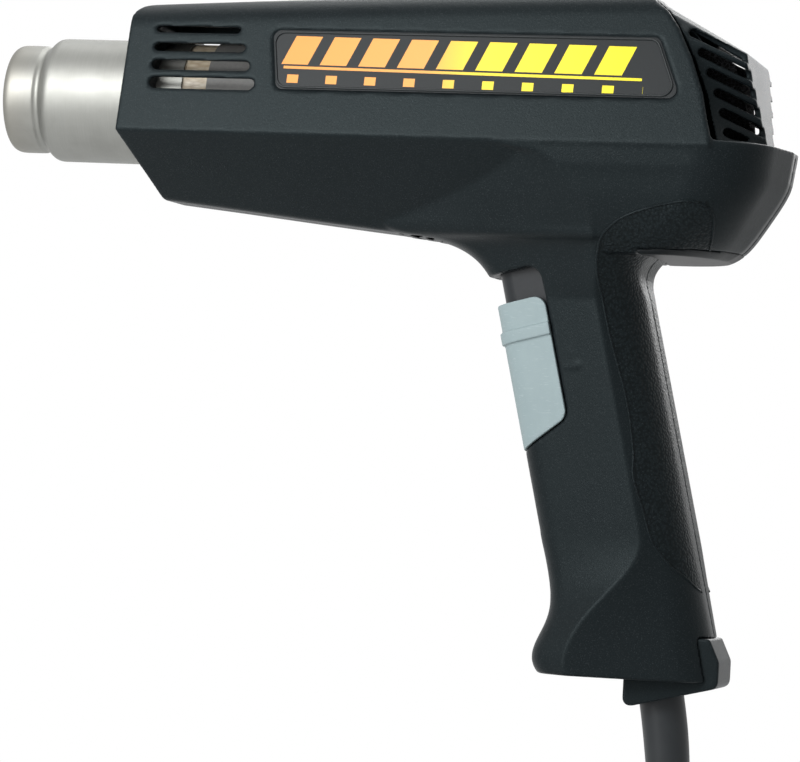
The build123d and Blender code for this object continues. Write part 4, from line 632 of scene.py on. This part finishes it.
# The tail's bumper: a soft black rubber strip let in flush under the tail, so that the tool can
# stand on its tail with the nozzle up.
pad = Finish("bumper_rubber")
scuff = pad.noise(0.25, 4.0, 0.65, pad.stretched(0.4, 1.0, 1.0))
pad.set(Base_Color=pad.blend(scuff, (0.006, 0.008, 0.009), (0.009, 0.011, 0.012)),
        Roughness=0.42 + 0.10 * scuff, Specular_IOR_Level=0.12,
        Normal=pad.bump(pad.noise(2.0, 3.0), 0.05, 0.4))
bumper = softened("tail_bumper", "tail_pad", voxel=0.4, passes=2, most_faces=60000)
bumper.data.materials.append(pad.material)
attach(bumper, "housing")
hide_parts("tail_bumper")


# The nozzle: a stainless tube drawn down to a smaller mouth, its edge rolled in, a soft groove
# rolled before the step for slip-on nozzles. It is brushed round and a little tinted by heat.
steel = Finish("brushed_stainless")
brush = steel.noise(1.0, 4.0, 0.65, steel.stretched(7.0, 0.10, 0.10))
long_brush = steel.noise(1.0, 3.0, 0.5, steel.stretched(1.1, 0.03, 0.03))
smudge = steel.noise(0.07, 3.0, 0.6)
warm = (1 - steel.x.past(4.0, 9.0)) * 0.55
metal = steel.blend(brush, (0.190, 0.193, 0.180), (0.275, 0.278, 0.262))
metal = steel.blend(smudge.past(0.55, 0.15) * 0.35, metal, (0.17, 0.17, 0.158))
metal = steel.blend(warm, metal, (0.235, 0.222, 0.192))
steel.set(Base_Color=metal, Metallic=1.0, Roughness=0.42 + 0.12 * brush + 0.06 * smudge,
          Normal=steel.bump(brush * 0.6 + long_brush * 0.6, 0.012, 0.55))
# Both profiles: distance from the mouth and radius, the outside first
NOZZLE_PROFILE = [(-0.2, 13.65), (-1.3, 14.15), (-1.8, 14.9), (-1.45, 15.9), (-0.6, 16.6), (0.9, 17.0),
                  (4.2, 17.05), (7.6, 17.0), (8.3, 16.9), (8.9, 16.62), (9.5, 16.5), (10.1, 16.62),
                  (10.6, 17.0), (11.3, 17.75), (12.1, 18.55), (13.0, 19.15), (14.2, 19.45), (16.0, 19.5),
                  (22, 19.5), (34, 19.5), (46, 19.5), (58.0, 19.5)]
INSIDE_PROFILE = [(58.0, 18.7), (46, 18.7), (34, 18.7), (22, 18.7), (16.2, 18.7), (14.6, 18.5),
                  (13.2, 17.9), (11.9, 16.8), (10.8, 15.85), (10.2, 15.7), (5, 15.7), (0.9, 15.7),
                  (0.2, 15.2), (-0.1, 14.4)]
SECTORS, SHARP_ANGLE = 160, 0.7


def lathed(name, profile):
    """A closed profile of distance and radius, turned about the nozzle's axis."""
    rows = len(profile)
    points, faces = [], []
    for number in range(SECTORS):
        angle = 2 * math.pi * number / SECTORS
        points += [tuple(place(x, r * math.cos(angle), r * math.sin(angle))) for x, r in profile]
        after = (number + 1) % SECTORS
        for k in range(rows):
            k2 = (k + 1) % rows
            faces.append((number * rows + k, number * rows + k2, after * rows + k2, after * rows + k))
    mesh = bpy.data.meshes.new(name)
    mesh.from_pydata(points, [], faces)
    shape = bmesh.new()
    shape.from_mesh(mesh)
    bmesh.ops.recalc_face_normals(shape, faces=shape.faces)
    for face in shape.faces:
        face.smooth = True
    for edge in shape.edges:
        if edge.calc_face_angle(0.0) > SHARP_ANGLE:
            edge.smooth = False
    shape.to_mesh(mesh)
    shape.free()
    return linked(name, mesh)


outer = [tuple(row) for row in flowing(NOZZLE_PROFILE, steps=4)]
inner = [tuple(row) for row in flowing(INSIDE_PROFILE, steps=3)]
nozzle = lathed("nozzle", outer + inner)
nozzle.data.materials.append(steel.material)
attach(nozzle, "housing")
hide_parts("nozzle_tube")


# Inside the nozzle: a rolled mica sleeve, and a ribbed ceramic core with eight holes through which
# one coiled resistance wire runs to and fro.
mica = Finish("mica")
flakes = mica.node("ShaderNodeTexVoronoi", None,
                   {"Vector": mica.stretched(0.35, 0.9, 0.9), "Scale": 1.0}, "Distance")
mica.set(Base_Color=mica.blend(flakes, (0.62, 0.56, 0.44), (0.33, 0.25, 0.16)),
         Roughness=0.3 + 0.25 * flakes, Specular_IOR_Level=0.6, Normal=mica.bump(flakes, 0.05, 0.5))
dress(["mica_sleeve"], mica)
ceramic = Finish("heater_ceramic")
scorch = ceramic.noise(0.35, 4.0, 0.6)
ceramic.set(Base_Color=ceramic.blend(scorch, (0.70, 0.67, 0.60), (0.50, 0.44, 0.36)), Roughness=0.75,
            Normal=ceramic.bump(ceramic.noise(2.2, 3.0), 0.08, 0.6))
dress(["heater_core", "core_holder"], ceramic)
HOLES, HOLE_RING, CORE_START, CORE_END = 8, 10.4, 17.0, 62.0
COIL_RADIUS, COIL_WIRE, COIL_ROUNDS, COIL_OVERHANG = 2.3, 0.4, 16.0, 0.6
wire = Finish("resistance_wire")
oxide = wire.noise(1.0, 3.0)
wire.set(Base_Color=wire.blend(oxide, (0.20, 0.17, 0.15), (0.36, 0.31, 0.27)), Metallic=1.0,
         Roughness=0.38 + 0.2 * oxide, Normal=wire.bump(oxide, 0.02, 0.4))
winding = Growth("coiled_wires", Length=0.045, Coil=0.002, Wire=0.0004)
helix = winding.node("GeometryNodeCurveSpiral", None, {
    "Resolution": 14, "Rotations": COIL_ROUNDS, "Start Radius": winding.sizes["Coil"],
    "End Radius": winding.sizes["Coil"], "Height": winding.sizes["Length"]})
ring = winding.node("GeometryNodeCurvePrimitiveCircle", None,
                    {"Resolution": 7, "Radius": winding.sizes["Wire"]})
turns = winding.node("GeometryNodeCurveToMesh", None,
                     {"Curve": helix, "Profile Curve": ring, "Fill Caps": True})
laid = winding.node("GeometryNodeTransform", None, {"Geometry": turns, "Rotation": (0.0, math.pi / 2, 0.0)})
repeats = winding.node("GeometryNodeInstanceOnPoints", None, {"Points": winding.start, "Instance": laid})
winding.close(repeats, wire)
spots = []
for number in range(HOLES):
    angle = math.radians(-90 + (number + 0.5) * 360 / HOLES)
    start = CORE_START - COIL_OVERHANG
    spots.append(place(start, HOLE_RING * math.cos(angle), HOLE_RING * math.sin(angle)))
windings = winding.grow("heater_windings", line_mesh("winding_spots", spots),
                        Length=(CORE_END - CORE_START + 2 * COIL_OVERHANG) * MM,
                        Coil=COIL_RADIUS * MM, Wire=COIL_WIRE * MM)
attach(windings, "housing")
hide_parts("heater_wire")


# The slide switch: a blue-grey knob that wraps round the front of the grip, with a raised band near
# its top, sliding on a black nylon guide; behind it the carriage works the switch.
knob_finish = Finish("grey_knob_plastic")
haze = knob_finish.noise(0.12, 3.0, 0.6)
pores = knob_finish.noise(2.6, 3.0, 0.6)
scratch = knob_finish.noise(1.0, 2.0, 0.5, knob_finish.stretched(0.25, 0.6, 3.4)).past(0.66, 0.03)
tone = knob_finish.blend(haze, (0.215, 0.272, 0.282), (0.252, 0.314, 0.324))
tone = knob_finish.blend(scratch * 0.35, tone, (0.36, 0.42, 0.44))
knob_finish.set(Base_Color=tone, Roughness=0.48 + 0.12 * pores, Specular_IOR_Level=0.25,
                Normal=knob_finish.bump(pores - scratch * 0.3, 0.05, 0.45))
knob = softened("switch_knob", "slide_knob", voxel=0.24, passes=14, most_faces=150000)
knob.data.materials.append(knob_finish.material)
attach(knob, "slider")
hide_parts("switch_knob")
track = Finish("guide_nylon")
glaze = track.noise(0.5, 3.0)
track.set(Base_Color=track.blend(glaze, (0.010, 0.012, 0.014), (0.018, 0.020, 0.022)),
          Roughness=0.34 + 0.12 * glaze, Specular_IOR_Level=0.22,
          Normal=track.bump(track.noise(2.2, 2.0), 0.03, 0.4))
dress(["switch_guide", "switch_carriage"], track)


# The cord outlet: a black wedge that closes the foot and turns up behind it as a heel. The sleeve
# below it is a smooth tapering strain relief with a collar.
outlet = softened("cord_outlet", "outlet_wedge", voxel=0.35, passes=20, most_faces=60000)
outlet.data.materials.append(nylon.material)
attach(outlet, "housing")
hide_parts("cord_outlet")
sleeve = softened("cord_sleeve", "strain_relief", voxel=0.3, passes=3, most_faces=80000)
relief = Finish("sleeve_rubber")
shade = relief.noise(0.15, 3.0)
relief.set(Base_Color=relief.blend(shade, (0.012, 0.014, 0.016), (0.020, 0.023, 0.025)),
           Roughness=0.36 + 0.14 * shade, Specular_IOR_Level=0.24,
           Normal=relief.bump(relief.noise(2.6, 2.0), 0.03, 0.4))
sleeve.data.materials.append(relief.material)
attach(sleeve, "housing")
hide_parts("cord_sleeve")


# The fan and its motor: a black impeller on a steel shaft, a zinc-plated can with its magnets, the
# wound armature and copper commutator, and a phenolic end cap that carries the rectifier board.
fan_plastic = Finish("fan_plastic")
flow = fan_plastic.noise(0.6, 3.0)
fan_plastic.set(Base_Color=fan_plastic.blend(flow, (0.020, 0.020, 0.022), (0.040, 0.040, 0.044)),
                Roughness=0.4 + 0.15 * flow, Normal=fan_plastic.bump(flow, 0.03, 0.4))
dress(["fan_impeller"], fan_plastic)
zinc = Finish("zinc_plate")
spangle = zinc.node("ShaderNodeTexVoronoi", None, {"Vector": zinc.mm, "Scale": 0.45}, "Distance")
zinc.set(Base_Color=zinc.blend(spangle, (0.58, 0.59, 0.60), (0.44, 0.45, 0.46)), Metallic=1.0,
         Roughness=0.3 + 0.2 * spangle, Normal=zinc.bump(spangle, 0.01, 0.3))
dress(["motor_can", "motor_shaft", "motor_bearings", "housing_screws", "clamp_screws"], zinc)
ferrite = Finish("ferrite")
grit = ferrite.noise(1.8, 4.0, 0.7)
ferrite.set(Base_Color=ferrite.blend(grit, (0.030, 0.028, 0.027), (0.060, 0.056, 0.052)),
            Roughness=0.6 + 0.2 * grit, Normal=ferrite.bump(grit, 0.05, 0.5))
dress(["motor_magnets"], ferrite)
laminated = Finish("laminated_steel")
sheets = laminated.noise(1.0, 2.0, 0.5, laminated.stretched(5.0, 0.02, 0.02))
laminated.set(Base_Color=laminated.blend(sheets, (0.30, 0.30, 0.31), (0.14, 0.13, 0.13)), Metallic=1.0,
              Roughness=0.35 + 0.25 * sheets, Normal=laminated.bump(sheets, 0.03, 0.6))
dress(["motor_armature"], laminated)
copper = Finish("commutator_copper")
arcs = copper.noise(1.0, 3.0, 0.6, copper.stretched(4.0, 0.3, 0.3))
copper.set(Base_Color=copper.blend(arcs, (0.72, 0.36, 0.22), (0.42, 0.20, 0.13)), Metallic=1.0,
           Roughness=0.25 + 0.25 * arcs, Normal=copper.bump(arcs, 0.01, 0.4))
dress(["motor_commutator"], copper)
phenolic = Finish("phenolic")
fibres = phenolic.noise(0.9, 4.0, 0.6)
phenolic.set(Base_Color=phenolic.blend(fibres, (0.16, 0.065, 0.030), (0.24, 0.11, 0.055)),
             Roughness=0.45 + 0.2 * fibres, Normal=phenolic.bump(fibres, 0.04, 0.4))
dress(["motor_end_cap", "terminal_block"], phenolic)
board = Finish("glass_epoxy_board")
cloth = board.noise(1.6, 2.0)
board.set(Base_Color=board.blend(cloth, (0.05, 0.17, 0.08), (0.08, 0.24, 0.12)), Roughness=0.35 + 0.1 * cloth,
          Normal=board.bump(cloth, 0.02, 0.3))
dress(["rectifier_board"], board)
epoxy = Finish("diode_epoxy")
speck = epoxy.noise(2.0, 2.0)
epoxy.set(Base_Color=epoxy.blend(speck, (0.02, 0.02, 0.02), (0.05, 0.05, 0.05)), Roughness=0.4 + 0.2 * speck)
dress(["rectifier_diodes"], epoxy)
bracket = Finish("glass_filled_mount")
strands = bracket.noise(0.8, 4.0, 0.6)
bracket.set(Base_Color=bracket.blend(strands, (0.10, 0.10, 0.10), (0.18, 0.18, 0.17)),
            Roughness=0.5 + 0.15 * strands, Normal=bracket.bump(strands, 0.04, 0.4))
dress(["motor_mount", "air_duct", "cord_clamp"], bracket)


# The rest inside: the switch, its suppression capacitor, the thermal cut-out and the leads, each a
# bought part in its own plastic.
cream = Finish("switch_plastic")
cast = cream.noise(0.7, 3.0)
cream.set(Base_Color=cream.blend(cast, (0.62, 0.60, 0.53), (0.72, 0.70, 0.64)), Roughness=0.45 + 0.12 * cast,
          Normal=cream.bump(cast, 0.03, 0.3))
dress(["switch_body", "thermal_cutout"], cream)
lacquer = Finish("capacitor_film")
drips = lacquer.noise(0.5, 3.0)
lacquer.set(Base_Color=lacquer.blend(drips, (0.60, 0.40, 0.08), (0.70, 0.50, 0.13)),
            Roughness=0.3 + 0.15 * drips, Normal=lacquer.bump(drips, 0.05, 0.4))
dress(["suppression_capacitor"], lacquer)
insulation = Finish("glass_braid_sleeving")
weave = insulation.node("ShaderNodeTexVoronoi", None, {"Vector": insulation.mm, "Scale": 1.6}, "Distance")
insulation.set(Base_Color=insulation.blend(weave, (0.72, 0.69, 0.62), (0.52, 0.48, 0.42)), Roughness=0.8,
               Normal=insulation.bump(weave, 0.1, 0.6))
dress(["heater_leads", "motor_leads"], insulation)
brown = Finish("brown_wire_cover")
waxy = brown.noise(0.9, 2.0)
brown.set(Base_Color=brown.blend(waxy, (0.16, 0.06, 0.03), (0.22, 0.09, 0.04)), Roughness=0.35 + 0.15 * waxy,
          Normal=brown.bump(waxy, 0.02, 0.3))
dress(["supply_leads"], brown)
